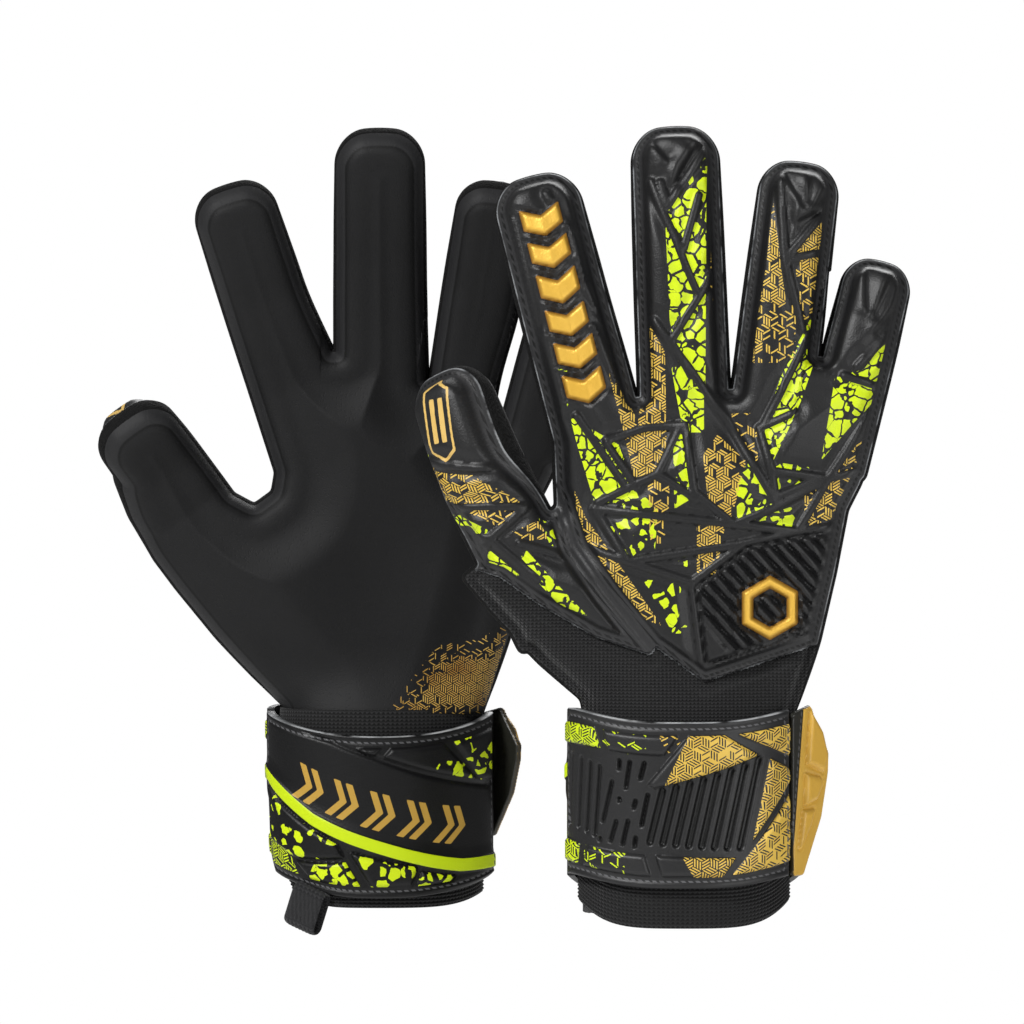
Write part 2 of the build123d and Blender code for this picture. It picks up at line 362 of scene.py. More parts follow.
def bend_digit(digit, along, across, height):
    """The place of a digit's flat points once it has its resting roll and curl."""
    steps = np.arange(0, digit.length + 12, 0.5)
    turn = radians(digit.curl[0]) * ramp(steps, digit.free, digit.free + 10)
    turn += radians(digit.curl[1]) * ramp(steps, digit.middle - 8, digit.middle + 8)
    forward = np.concatenate([[0], np.cumsum(np.cos(turn[:-1]) * 0.5)])
    lift = np.concatenate([[0], np.cumsum(np.sin(turn[:-1]) * 0.5)])
    turn, forward, lift = (np.interp(along, steps, line) for line in (turn, forward, lift))
    roll = radians(digit.roll) * ramp(along, digit.free, digit.free + 24)
    lean = radians(digit.lean)
    forward = forward - height * np.sin(turn)
    lift = lift + height * np.cos(turn)
    side = across * np.cos(roll) - lift * np.sin(roll)
    out = across * np.sin(roll) + lift * np.cos(roll)
    x = digit.root[0] + forward * sin(lean) + side * cos(lean)
    z = digit.root[1] + forward * cos(lean) - side * sin(lean)
    return np.stack([x, out, z], -1)


def bend(glove, flat, height):
    """All the flat glove's points at a height above its middle plane, bent to shape."""
    points = np.stack([flat.x, height, flat.z], -1)
    for k, digit in enumerate(digits(glove)):
        mine = flat.label == k
        points[mine] = bend_digit(digit, flat.along[mine], flat.across[mine], height[mine])
    return points


# ---- Print and embossing of the backs, laid out over the right glove's flat outline ----

RIBS = [
    [(-26, 163), (-13, 167), (0, 168), (3, 146), (16.5, 135)],
    [(-2, 167), (-9, 152), (-29, 142)],
    [(-9, 152), (4, 143)],
    [(-36, 171), (-19.5, 147)],
    [(-26, 162), (-16, 147)],
    [(-30, 140), (16.5, 135), (31, 141), (48, 150)],
    [(16.5, 135), (38, 132.5)],
    [(-19, 122.5), (20, 128.5), (2.5, 115.5), (-19, 122.5)],
    [(-30, 140), (-19, 122.5), (-32, 127)],
    [(2.5, 115.5), (6, 87)],
    [(20, 128.5), (38, 132.5), (51, 134)],
    [(-10.5, 202), (14, 170), (31, 141)],
    [(36, 172), (25, 167), (29, 153), (31, 141)],
    [(29, 153), (48, 150), (38, 132.5)],
    [(30.5, 144), (44.5, 150)],
    [(58, 152.5), (48, 150), (65, 175)],
    [(8, 260), (-5.5, 239), (-8, 247)],
    [(-11.5, 247.5), (4, 212)],
    [(12, 221.5), (-4.5, 195), (2, 184)],
    [(0, 225.5), (5, 243)],
    [(31.5, 250.5), (33.5, 221.5), (39.5, 199)],
    [(45.5, 224), (33.5, 221.5), (49.5, 241)],
    [(42, 198), (27, 169)],
    [(53, 183.5), (64.5, 180)],
    [(57.5, 186.5), (74, 202)],
    [(-84, 155.5), (-60, 155.5)],
    [(-84, 141), (-53, 140.5), (-65, 130), (-80, 131)],
    [(-69, 121), (-65, 130), (-49, 116.5)],
    [(-55, 128.5), (-40, 124)],
    [(-58.3, 235), (-53.5, 215), (-50.5, 201)],
    [(-46, 244), (-37, 229.5), (-33.5, 214), (-28, 206)],
    [(-30.5, 200), (-22.7, 183)],
]
FOLDS = [  # the sheet stands higher on the left of each line
    [(-4, 246), (3, 259), (9, 263)],
    [(-5, 254), (-12, 262)],
    [(40, 238), (33, 251)],
    [(41, 240), (42, 256)],
    [(42, 237), (49, 249)],
    [(36, 234), (48, 240)],
    [(60, 203), (60, 219)],
    [(62, 201), (69, 218)],
    [(62, 196), (74, 212)],
    [(59, 190), (73, 203)],
]
FOLD_HEIGHT, FOLD_EDGE, FOLD_FADE = 0.9, 0.6, 6.0
LIME = [  # (density, outline) of each patch of printed cells
    (1, [(-42.5, 187), (-39, 186), (-38.5, 171), (-22, 161.5), (-15, 143), (-30, 141.5), (-36, 161.5)]),
    (0.6, [(-30, 141), (-13, 144), (-9, 140), (-10, 124), (-19, 122.5), (-29, 135.5)]),
    (0.9, [(-4, 167), (-0.5, 167), (4, 144.5), (-3.5, 140)]),
    (1, [(-4.5, 186.5), (6.5, 186.5), (6.5, 165.5), (-0.5, 165.5)]),
    (0.9, [(8, 260), (-6.5, 236), (-5, 202), (-1.5, 185), (7, 179.5), (7.5, 244)]),
    (1, [(43, 205), (43, 187.5), (38.5, 174.5), (29, 155), (26, 167.5), (32, 183.5)]),
    (0.8, [(22, 158.5), (30.5, 142), (17.5, 136), (17, 147)]),
    (0.5, [(29, 156), (41.5, 154), (44, 148.5), (31, 143.5)]),
    (0.5, [(22, 136.5), (38, 141.5), (37, 133.5)]),
    (1, [(74, 203), (67, 179), (48.5, 159.5), (45.5, 156), (50, 183.5), (59.5, 185.5)]),
    (0.5, [(-14, 116.5), (-4, 116), (-1, 98.5), (-4, 98.5)]),
    (0.1, [(-2.5, 138.5), (1, 138.5), (1, 100.5), (-1.5, 100.5)]),
    (1, [(-90, 165), (-84, 155), (-80, 141), (-84, 138)]),
    (1, [(-84, 140), (-75.5, 138.5), (-64, 132), (-80, 130), (-90, 140)]),
    (1, [(-84, 129), (-68.5, 128), (-69.5, 119), (-80, 119)]),
    (1, [(-66, 127), (-54, 117), (-69, 120)]),
    (0.9, [(-55, 124), (-53, 126.5), (-44, 116.5), (-32, 104), (-42, 108), (-50, 116.5)]),
    (0.7, [(-50, 139.5), (-44, 139.5), (-41, 126), (-45, 128)]),
]
GOLD = [  # (density, outline) of each patch of printed dashes
    (0.86, [(-26, 187.5), (-15.5, 169.5), (-12, 201.5), (-6.5, 191.5), (-6, 161.5), (-10, 152), (-17, 150.5),
            (-20, 164)]),
    (0.8, [(11, 165), (20.5, 156), (15.5, 136.5), (8, 140.5), (6, 158)]),
    (0.35, [(-12.5, 150), (-5, 150), (-5.5, 128.5), (-11.5, 128.5)]),
    (0.86, [(4, 134.5), (13.5, 134.5), (10.5, 118.5), (4, 116.5)]),
    (0.9, [(-37, 147), (-33, 137), (-23.5, 124), (-7.5, 101), (-13, 103), (-28, 119), (-36, 135)]),
    (0.5, [(40, 144.5), (48, 150.5), (64, 168.5), (62.5, 151.5), (58, 139.5), (40, 133.5)]),
    (0.3, [(15.5, 172), (24, 172), (24.5, 154.5), (17.5, 161.5)]),
    (0.6, [(9, 240), (12, 235), (11.5, 197.5), (8.5, 213.5)]),
    (0.86, [(29.5, 243), (32, 219.5), (34, 208), (25, 208), (27, 219.5)]),
    (0.45, [(25, 208), (37, 208), (37, 188), (22.5, 188)]),
    (0.86, [(49.5, 241), (45.5, 224.5), (45, 216), (37, 216), (37, 224.5)]),
    (0.5, [(45, 216), (43, 199), (38, 199), (35, 216)]),
    (0.86, [(-88, 153), (-65, 153), (-54, 142), (-78, 142)]),
    (0.86, [(-72, 139.5), (-54, 139.5), (-61, 133)]),
    (0.4, [(-59, 132), (-49, 136), (-45, 130), (-55, 129)]),
]
PUNCH_ZONE = [(3, 114), (20.5, 128), (38, 131.5), (51, 133), (47.5, 118), (42, 98.5), (18, 91), (6.5, 87)]
PLAIN_FACET = [(4, 106), (19, 88.5), (4, 84)]  # the corner of the punch zone without ridges
RIDGE_PITCH, RIDGE_SLOPE = 3.9, radians(-48)
EMBLEM_CENTRE, EMBLEM_SIZE = (28.5, 107), 9.5
BADGE_CENTRE, BADGE_TURN = (-77, 169.5), radians(14)
BADGE_DROP = {"left": 4, "right": 0}
BADGE_HALF, BADGE_LINE, BADGE_BAR = (5.2, 13.5), 1.0, (1.7, 7.5)
CHEVRONS, CHEVRON_STEP, CHEVRON_FIRST = 6, 11.2, 7.0
CHEVRON_HALF, CHEVRON_BAR = 6.9, 3.3


def hexagon_depth(x, z, size):
    """Depth inside a hexagon that stands on a corner."""
    reach = [np.abs(x * cos(a) + z * sin(a)) for a in (0, pi / 3, -pi / 3)]
    return size - np.max(reach, axis=0)


def chevrons(along, across):
    """A stack of raised arrowheads up the middle of a finger."""
    depth = np.full(along.shape, -99.0)
    for k in range(CHEVRONS):
        up = along - CHEVRON_FIRST - CHEVRON_STEP * k
        bar = CHEVRON_BAR - np.abs(up - 0.5 * np.abs(across)) * 0.88
        depth = np.maximum(depth, np.minimum(bar, CHEVRON_HALF - np.abs(across)))
    return depth


def emblem(x, z):
    """A raised hexagon ring on the punch zone."""
    size = hexagon_depth(x - EMBLEM_CENTRE[0], z - EMBLEM_CENTRE[1], EMBLEM_SIZE)
    return np.minimum(size, 4.0 - size)


def badge(x, z):
    """A long hexagon outline on the thumb, with two plain bars inside."""
    dx, dz = x - BADGE_CENTRE[0], z - BADGE_CENTRE[1]
    u = dx * cos(BADGE_TURN) + dz * sin(BADGE_TURN)
    v = dz * cos(BADGE_TURN) - dx * sin(BADGE_TURN)
    half_wide, half_tall = BADGE_HALF
    bar_at, bar_half = BADGE_BAR
    size = np.minimum(half_wide - np.abs(u), (half_tall - np.abs(v) - 0.6 * np.abs(u)) * 0.86)
    bars = np.minimum(BADGE_LINE - np.abs(np.abs(u) - bar_at), bar_half - np.abs(v))
    return np.maximum(np.minimum(size, BADGE_LINE - size), np.minimum(bars, size - BADGE_LINE))


def print_place(flat):
    """Where each point lies on the right glove's flat outline, which the print is laid out over."""
    x, z = flat.x.copy(), flat.z.copy()
    for k, digit in enumerate(digits("right")):
        mine = flat.label == k
        lean = radians(digit.lean)
        x[mine] = digit.root[0] + flat.along[mine] * sin(lean) + flat.across[mine] * cos(lean)
        z[mine] = digit.root[1] + flat.along[mine] * cos(lean) - flat.across[mine] * sin(lean)
    return x, z


def back_fields(glove, flat):
    """What is embossed and printed on the back, as distances that shape and colour share."""
    x, z = print_place(flat)
    seam = lines_distance(x, z, [THUMB_SEAM]) - 1.0
    rim = np.minimum(flat.depth, np.minimum(np.abs(back_region_depth(flat.x, flat.z)), np.maximum(seam, 0)))
    rib = lines_distance(x, z, RIBS)
    index = digits("right")[0]
    gold = np.maximum(chevrons(*digit_coordinates(index, x, z)), emblem(x, z))
    gold = np.where(flat.label > 0, -99.0, gold)
    flat_gold = np.minimum(badge(x, z + BADGE_DROP[glove]), rim - 1.6)
    wrapped = ramp(-x, 70, 76) * ramp(z, 114, 120) * (1 - ramp(z, 156, 160))  # print rounds the thumb's edge
    border = rim - (FLANGE + 0.9) * (1 - wrapped)
    clear = np.minimum(np.minimum(rib - 1.25, border), -1.3 - gold)
    lime, lime_density = regions_depth(x, z, LIME)
    hatch, hatch_density = regions_depth(x, z, GOLD)
    return {
        "rim": rim, "rib": rib, "gold": gold, "badge": flat_gold,
        "lime": np.minimum(lime, clear), "hatch": np.minimum(hatch, clear),
        "spots": lime_density, "dashes": hatch_density,
        "fold": folded_steps(x, z, FOLDS), "punch": polygon_depth(x, z, PUNCH_ZONE),
        "facet": polygon_depth(x, z, PLAIN_FACET),
        "ridge": x * cos(RIDGE_SLOPE + pi / 2) + z * sin(RIDGE_SLOPE + pi / 2),
        "cut": np.minimum(flat.depth, np.abs(back_region_depth(flat.x, flat.z))),
    }


PALM_PRINT = [(1, 64), (6, 72), (15, 84), (20, 90), (34, 92), (50, 101), (56, 104), (50, 64)]


def palm_fields(flat):
    """What is printed on the palm: dashes at its heel, thinned out at their border."""
    printed = polygon_depth(flat.x, flat.z, PALM_PRINT)
    return {
        "rim": flat.depth, "hatch": np.minimum(printed, flat.depth - 0.5),
        "dashes": 0.3 + 0.7 * ramp(printed, 0, 9),
    }


# ---- Heights of the sheets above the middle plane ----


def side_height(glove, z, label, along):
    """Half the gusset's height: it dies away where the hand meets the round sleeve and thins at the tips."""
    height = 0.2 + 4.8 * ramp(z, 62, 94)
    for k, digit in enumerate(digits(glove)):
        height *= 1 - 0.45 * (label == k) * ramp(along, 0.55 * digit.length, digit.length)
    return height


def sleeve_height(flat):
    """The oval sleeve inside the strap, which the hand grows out of."""
    return (CUFF_HALF[1] - 1.6) * np.sqrt(1 - np.clip(1 - flat.depth / 34, 0, 1) ** 2)


def with_sleeve(flat, height):
    """The height, run into the sleeve's below the hand."""
    mix = ramp(flat.z, 62, 92)
    return height * mix + sleeve_height(flat) * (1 - mix)


def palm_height(glove, flat):
    """Flat-topped fingers with a pressed line inside their rolled border, and a soft cup in the hand."""
    d = flat.depth
    height = side_height(glove, flat.z, flat.label, flat.along)
    height += 5.4 * dome(d / 10) + 4.2 * smooth((d - 11) / 18)
    height -= 0.45 * bell((d - 3.4) / 1.0) * ramp(flat.z, 90, 110)
    thenar = np.hypot(flat.x + 38, flat.z - 108)
    hollow = np.hypot(flat.x - 4, flat.z - 118)
    height += 1.8 * bell(thenar / 24) - 2.0 * bell(hollow / 26)
    return with_sleeve(flat, height) + 1.2 * ramp(flat.z, PALM_EDGE - 0.4, PALM_EDGE + 0.6) * ramp(d, 0, 4)


def back_height(glove, flat, fields):
    """Puffed foam between pressed seams, with the embossing of RIBS, FOLDS and the punch zone."""
    d, inner = flat.depth, fields["rim"] - FLANGE
    seam = np.minimum(fields["rim"], d)
    height = side_height(glove, flat.z, flat.label, flat.along) + 1.2 * dome(seam / 1.5)
    height += 4.6 * dome((d - FLANGE) / 7.5) + 4.6 * smooth((d - 11) / 18)
    height += 1.3 * ramp(inner, 0, 1.8) - 0.35 * bell((fields["rim"] - 1.7) / 0.7)
    rib, punch = fields["rib"], fields["punch"]
    bulk = 1.25 * (1 - ramp(rib, 0.7, 1.9)) + 1.2 * ramp(rib, 1.9, 6.0)
    bulk *= 1 - ramp(punch, -0.5, 0.8)
    bulk += FOLD_HEIGHT * fields["fold"]
    wave = 0.5 + 0.5 * np.cos(2 * pi * fields["ridge"] / RIDGE_PITCH)
    ridges = np.maximum(smooth(1.6 * wave), ramp(fields["facet"], -0.4, 1.2))
    bulk += 2.0 * ridges * ramp(punch, 0.8, 2.2) - 0.8 * bell(fields["facet"] / 0.7) * ramp(punch, 0.8, 2.2)
    plain = ramp(-fields["gold"], 0.4, 1.6)
    bulk = bulk * plain + 1.9 * ramp(fields["gold"], -0.2, 1.3) + 0.2 * (1 - plain)
    height += bulk * ramp(inner, 0, 2.4)
    height += 0.4 * np.cos(2 * pi * flat.z / 3.2) * (1 - ramp(flat.z + 0.004 * flat.x**2, 75, 79))
    over_mesh = ramp(back_region_depth(flat.x, flat.z), -0.1, 0.3)
    return with_sleeve(flat, height) + 1.4 * over_mesh * ramp(d, 0, 3)


# ---- Meshes ----


def new_mesh(name, points, faces, attributes=None, sharp=50):
    """A smooth-shaded object from points, faces and named values at its points."""
    mesh = bpy.data.meshes.new(name)
    mesh.from_pydata(np.asarray(points).tolist(), [], np.asarray(faces).tolist())
    for key, values in (attributes or {}).items():
        values = np.asarray(values, np.float32)
        if values.ndim == 2:
            mesh.attributes.new(key, "FLOAT_VECTOR", "POINT").data.foreach_set("vector", values.ravel())
        else:
            mesh.attributes.new(key, "FLOAT", "POINT").data.foreach_set("value", values)
    mesh.polygons.foreach_set("use_smooth", [True] * len(mesh.polygons))
    mesh.set_sharp_from_angle(angle=radians(sharp))
    piece = bpy.data.objects.new(name, mesh)
    bpy.context.scene.collection.objects.link(piece)
    return piece


def glove_piece(name, glove, points, faces, attributes, material, inward=False):
    """A piece from glove-frame points. inward says that its faces wind inwards on the right glove."""
    used, faces = np.unique(faces, return_inverse=True)
    faces = faces.reshape(-1, 4)
    if inward == (glove == "right"):
        faces = faces[:, ::-1]
    picked = {key: values[used] for key, values in attributes.items()}
    piece = new_mesh(f"{glove}_{name}", to_pair(glove, points[used]), faces, picked)
    piece.data.materials.append(material)
    return piece


def stand_for(piece, glove, node, body=None):
    """Puts a piece in its CAD node's place and on a body, unless it bends between bodies."""
    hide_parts(f"{glove}_{node}")
    if body:
        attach(piece, f"{glove}_{body}")


def sheet_vector(x, z):
    """A place on a flat pattern, in metres, which printed patterns are laid out by."""
    return np.stack([x * MM, z * MM, 0 * x], -1)


def fold_reach(digit):
    """How far on each side of the middle crease the latex bends."""
    return 8.0 if digit.name == "thumb" else 11.0


def part_masks(glove, label, along):
    """Which places belong to the hand and to each digit's base and tip."""
    masks = {"hand": label < 0}
    for k, digit in enumerate(digits(glove)):
        split = digit.middle - fold_reach(digit)
        masks[digit.name + "_base"] = (label == k) & (along < split)
        masks[digit.name + "_tip"] = (label == k) & (along >= split)
    return masks


def ride_part(piece, glove, part):
    """Bakes a hand or digit piece's place into its points; a digit's crease is worked out but not used."""
    if part == "hand":
        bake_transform(piece)
        return
    name, place = part.rsplit("_", 1)
    digit = next(d for d in digits(glove) if d.name == name)
    if place == "base":
        below, low, high = glove + "_hand", digit.free, digit.free + 16
    else:
        below, reach = f"{glove}_{name}_base", fold_reach(digit)
        low, high = digit.middle - reach, digit.middle + reach
    span = bend_digit(digit, np.array([low, high], float), np.zeros(2), np.zeros(2))
    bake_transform(piece)


def build_hand(glove):
    """The palm and back sheets, cut at the digits' creases, with the gussets between them."""
    flat = flat_glove(glove)
    fields = back_fields(glove, flat)
    place = {"sheet": sheet_vector(flat.x, flat.z)}
    palm = bend(glove, flat, palm_height(glove, flat))
    back = bend(glove, flat, -back_height(glove, flat, fields))
    front_all = {**place, **palm_fields(flat)}
    back_all = {**place, **{key: fields[key] for key in PRINT_FIELDS}}
    middle_x, middle_z = flat.x[flat.quads].mean(1), flat.z[flat.quads].mean(1)
    masks = part_masks(glove, flat.label[flat.quads].min(1), flat.along[flat.quads].mean(1))
    hand = masks.pop("hand")
    above = back_region_depth(middle_x, middle_z) > 0
    low = middle_z <= PALM_EDGE
    latex, embossed = (front_all, PALM, "grip_latex"), (back_all, BACK, "embossed_latex")
    knit = (place, MESH_KNIT, "stretch_mesh")
    build_sheet(glove, "palm_latex", "hand", palm, flat.quads[hand & ~low], *latex)
    build_sheet(glove, "palm_sleeve", "hand", palm, flat.quads[hand & low], place, RIB_KNIT, "stretch_mesh")
    build_sheet(glove, "backhand_panel", "hand", back, flat.quads[hand & above], *embossed)
    build_sheet(glove, "wrist_mesh", "hand", back, flat.quads[hand & ~above], *knit)
    for part, mask in masks.items():
        build_sheet(glove, part + "_latex", part, palm, flat.quads[mask], *latex)
        build_sheet(glove, part + "_back", part, back, flat.quads[mask], *embossed)
    build_gussets(glove, flat)
    build_lining(glove, flat)


PRINT_FIELDS = ("rim", "gold", "badge", "lime", "hatch", "spots", "dashes", "cut")


def build_sheet(glove, node, part, points, quads, attributes, material, slot):
    """One node's share of the palm or back sheet."""
    palm_side = node.startswith("palm") or node.endswith("latex")
    piece = glove_piece(node + "_sheet", glove, points, quads, attributes, material, inward=palm_side)
    ride_part(piece, glove, part)
    if node != "palm_sleeve":
        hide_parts(f"{glove}_{node}")


GUSSET_ROWS = np.linspace(1, -1, 9)


def build_gussets(glove, flat):
    """Soft side walls that bulge out between the palm sheet's rim and the back sheet's rim."""
    x, z = flat.x[flat.rim], flat.z[flat.rim]
    dx, dz = np.gradient(x), np.gradient(z)
    size = np.maximum(np.hypot(dx, dz), 1e-6)
    label = flat.label[flat.rim]
    height = side_height(glove, z, label, flat.along[flat.rim])
    rows = []
    for share in GUSSET_ROWS:
        out = (EDGE_INSET - 0.1) * np.sqrt(1 - share**2) * height / 5 - 0.15
        gx, gz = x + dz / size * out, z - dx / size * out
        along, across = np.zeros(len(x)), np.zeros(len(x))
        for k, digit in enumerate(digits(glove)):
            mine = label == k
            along[mine], across[mine] = digit_coordinates(digit, gx[mine], gz[mine])
        row = Flat(gx, gz, None, None, None, label, along, across)
        rows.append(bend(glove, row, share * height))
    points = np.array(rows).reshape(-1, 3)
    count = len(x)
    edges = np.arange(count - 1)
    edge_label = np.minimum(label[:-1], label[1:])
    run = np.cumsum(np.hypot(dx, dz))
    place = {"sheet": sheet_vector(np.tile(run, len(rows)), np.repeat(GUSSET_ROWS * 5, count))}
    for part, mask in part_masks(glove, edge_label, flat.along[flat.rim][:-1]).items():
        faces = []
        for r in range(len(rows) - 1):
            low = edges[mask] + r * count
            faces.append(np.stack([low, low + 1, low + 1 + count, low + count], -1))
        faces = np.concatenate(faces)
        piece = glove_piece(part + "_gusset", glove, points, faces, place, GUSSET, inward=True)
        ride_part(piece, glove, part)


def build_lining(glove, flat):
    """A soft sleeve inside the hand, closed round the roots of the fingers."""
    inside = (flat.depth[flat.quads].min(1) > 4) & (flat.label[flat.quads].max(1) < 0)
    height = (with_sleeve(flat, 13 + 0 * flat.x) - 3.4) * dome((flat.depth - 3.6) / 12)
    height *= ramp(-flat.z, -172, -150)
    place = {"sheet": sheet_vector(flat.x, flat.z)}
    quads = flat.quads[inside]
    for side, sign in (("palm", 0.8), ("back", -1)):
        points = np.stack([flat.x, sign * np.maximum(height, 0.1), flat.z], -1)
        piece = glove_piece(f"lining_{side}", glove, points, quads, place, LINING, inward=sign > 0)
        ride_part(piece, glove, "hand")
        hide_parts(glove + "_hand_lining")


# ---- Cuff ----


def rise(glove, angle, low_front, sides, power=2.6):
    """An edge that stands higher at the cuff's sides than at its front and back."""
    return low_front + sides[glove] * np.abs(np.cos(angle)) ** power


CUFF_TAPER = {"left": (6.0, 1.2), "right": (0, 0)}  # at the rim and at the strap's middle
STRAP_SIDES = {"left": 3.4, "right": 8.5}
BAND_SIDES = {"left": 4.5, "right": 8.5}


def strap_low(glove, angle):
    """Height of the strap's lower edge."""
    return rise(glove, angle, 8.6, STRAP_SIDES) - 5.0 * np.sin(angle)


def band_low(glove, angle):
    """Height of the bandage's rim."""
    return rise(glove, angle, 0.0, BAND_SIDES, 4.5)


def tapered(glove, points):
    """Points of a cuff that narrows towards its rim at the thumb side, which only the left one does."""
    x, z = points[:, 0], points[:, 2]
    at_rim, at_middle = CUFF_TAPER[glove]
    narrow = at_middle * (1 - ramp(z, 22, 60)) + at_rim * (1 - ramp(z, -4, 25)) ** 1.4
    moved = points.copy()
    moved[:, 0] += narrow * ramp(-x, 8, 36)
    return moved


def arc_table(half):
    """Distance round an ellipse from its front or back middle, against the angle from there."""
    angle = np.linspace(-pi, pi, 2001)
    step = np.hypot(half[0] * np.cos(angle), half[1] * np.sin(angle)) * (angle[1] - angle[0])
    arc = np.cumsum(step)
    return angle, arc - np.interp(0, angle, arc)


def around(x):
    """Distance round the strap from its middle to where it is seen at x from the front."""
    angle, arc = arc_table(STRAP_HALF)
    return float(np.interp(np.arcsin(np.clip(x / (STRAP_HALF[0] + STRAP_WALL), -1, 1)), angle, arc))


def ring_faces(columns, ring, closed=False):
    """Quads between neighbouring closed sections of a swept shape."""
    number = np.arange(columns * ring).reshape(columns, ring)
    if closed:
        number = np.concatenate([number, number[:1]])
    after = np.roll(number, -1, axis=1)
    return np.stack([number[:-1], number[1:], after[1:], after[:-1]], -1).reshape(-1, 4)


def end_caps(columns, rows):
    """Quads that close the two ends of a shell whose sections run up the outside and down the inside."""
    number = np.arange(columns * 2 * rows).reshape(columns, 2 * rows)
    caps = []
    for column, first in ((number[0], True), (number[-1], False)):
        inner = column[::-1]
        cap = np.stack([column[: rows - 1], column[1:rows], inner[1:rows], inner[: rows - 1]], -1)
        caps.append(cap if first else cap[:, ::-1])
    return np.concatenate(caps)


def ellipse_points(half, angle, out):
    """Points a distance outside an ellipse. angle has one value for each row of out."""
    normal = np.stack([np.cos(angle) / half[0], np.sin(angle) / half[1]], -1)
    normal /= np.linalg.norm(normal, axis=-1, keepdims=True)
    base = np.stack([half[0] * np.cos(angle), half[1] * np.sin(angle)], -1)
    return base[:, None, :] + normal[:, None, :] * out[:, :, None]


def band_shell(glove, half, wall, side, span, low, tall, columns, rows, relief):
    """A closed band round part of an ellipse. side is +1 over the palm and -1 over the back.

    relief(run, up) gives the outside's extra thickness at a distance round and up the band.
    """
    turn, arc = arc_table(half)
    run = np.linspace(around(span[0]), around(span[1]), columns)
    angle = side * (pi / 2 - np.interp(run, arc, turn))
    run_grid, up_grid = np.meshgrid(run, np.linspace(0, tall, rows), indexing="ij")
    near = np.minimum(np.minimum(up_grid, tall - up_grid), np.minimum(run_grid - run[0], run[-1] - run_grid))
    outside = wall + relief(run_grid, up_grid) * ramp(near, 0.3, 1.4) - 0.5 * (1 - dome(near / 0.7))
    out = np.concatenate([outside, 0 * outside], 1)
    up = np.concatenate([up_grid, up_grid[:, ::-1]], 1)
    flat = ellipse_points(half, angle, out)
    points = np.concatenate([flat, (low(glove, angle)[:, None] + up)[:, :, None]], -1).reshape(-1, 3)
    faces = np.concatenate([ring_faces(columns, 2 * rows), end_caps(columns, rows)])
    fields = {
        "sheet": sheet_vector(np.tile(run[:, None], (1, 2 * rows)).ravel(), up.ravel()),
        "outer": np.tile(np.arange(2 * rows) < rows, columns).astype(float),
        "up": up.ravel(),
        "near": np.concatenate([near, near[:, ::-1]], 1).ravel(),
    }
    return tapered(glove, points), faces, fields


def spread(regions):
    """Regions drawn as seen from the front, laid out round the strap."""
    return [(density, [(around(x), up) for x, up in outline]) for density, outline in regions]


def spread_lines(lines):
    """Lines drawn as seen from the front, laid out round the strap."""
    return [[(around(x), up) for x, up in line] for line in lines]


FLAP_PADS = [
    [(-39, 51), (-30.5, 51), (-28.3, 44.5), (-39, 44)],
    [(-27.8, 51), (-2.2, 51), (-7, 44.3), (-26, 44.5)],
    [(-12.8, 34.5), (1.2, 51), (13.5, 51), (25, 43), (-10.5, 33.2)],
    [(18, 51), (38.6, 51), (38.6, 36.5)],
    [(28.8, 41), (36.6, 34.5), (23, 14.5)],
    [(36.6, 30), (36.6, 5), (16, 4)],
    [(-39, 12), (-35, 10.8), (-35.6, 4), (-39, 4.5)],
    [(-32.6, 10.8), (-13.6, 11), (-11.4, 4), (-34, 4)],
    [(-10.2, 11), (17.6, 9.8), (13, 4), (-8, 4)],
]
FLAP_PRINT = [
    (0.93, [(-7, 34.2), (1.2, 51), (13.5, 51), (25, 43)], 2),
    (0.8, FLAP_PADS[3], 2),
    (0.9, FLAP_PADS[4], 2),
    (0.8, FLAP_PADS[5], 2),
    (1, [(-1, 10.6), (17.6, 9.8), (13, 3.6), (3, 3.6)], 0),
    (0.35, [(-9, 51), (0, 51), (-5, 44)], 0),
    (0.9, FLAP_PADS[0], 3),
    (0.35, [(-28, 51), (-13, 51), (-13, 44), (-28, 44)], 1),
    (0.9, FLAP_PADS[6], 3),
    (0.4, [(-34, 11), (-20, 11), (-20, 4), (-34, 4)], 1),
]
FLAP_BARS = [
    [(-22.5, 41.5), (-22.6, 39)], [(-19, 41.5), (-20.3, 33)], [(-14, 41.5), (-15.3, 36.5)],
    [(-25, 34), (-28, 20.5)], [(-22.5, 28.7), (-22.5, 28.3)], [(-17, 28.7), (-17.6, 26.6)],
    [(-12.8, 31), (-14.9, 21)],
    [(-23.6, 21), (-25.4, 14.5)], [(-19.6, 21.7), (-21.4, 14)], [(-17, 16.4), (-17.4, 13.7)],
    [(-28.9, 14.2), (-28.9, 13.9)],
]
SHORT_SLOTS = [[(-37.8 + 2.9 * k, 40.0 - 0.6 * k), (-38.4 + 2.6 * k, 17 - 0.6 * k)] for k in range(4)]
LONG_SLOTS = [[(-7.7 + 4.74 * k, 32.6 + 1.27 * k), (-12.1 + 4.46 * k, 15.4 - 0.33 * k)] for k in range(8)]


def flap_slots(run, up):
    """Depth inside the slots pressed into the flap's middle."""
    bars = 0.95 - lines_distance(run, up, spread_lines(FLAP_BARS))
    short = 1.0 - lines_distance(run, up, spread_lines(SHORT_SLOTS))
    return np.maximum(np.maximum(bars, short), 1.3 - lines_distance(run, up, spread_lines(LONG_SLOTS)))


def pads_depth(run, up, pads):
    """Depth inside the nearest of a strap's puffed pads."""
    return np.max([polygon_depth(run, up, outline) for _, outline in spread((1, p) for p in pads)], axis=0)


def flap_relief(run, up):
    """Pads, pressed slots and seams of the strap's flap."""
    pads = 1.5 * dome(np.maximum(pads_depth(run, up, FLAP_PADS), 0) / 1.8)
    return pads - 1.5 * ramp(flap_slots(run, up), -0.2, 0.9) + strap_seams(up)


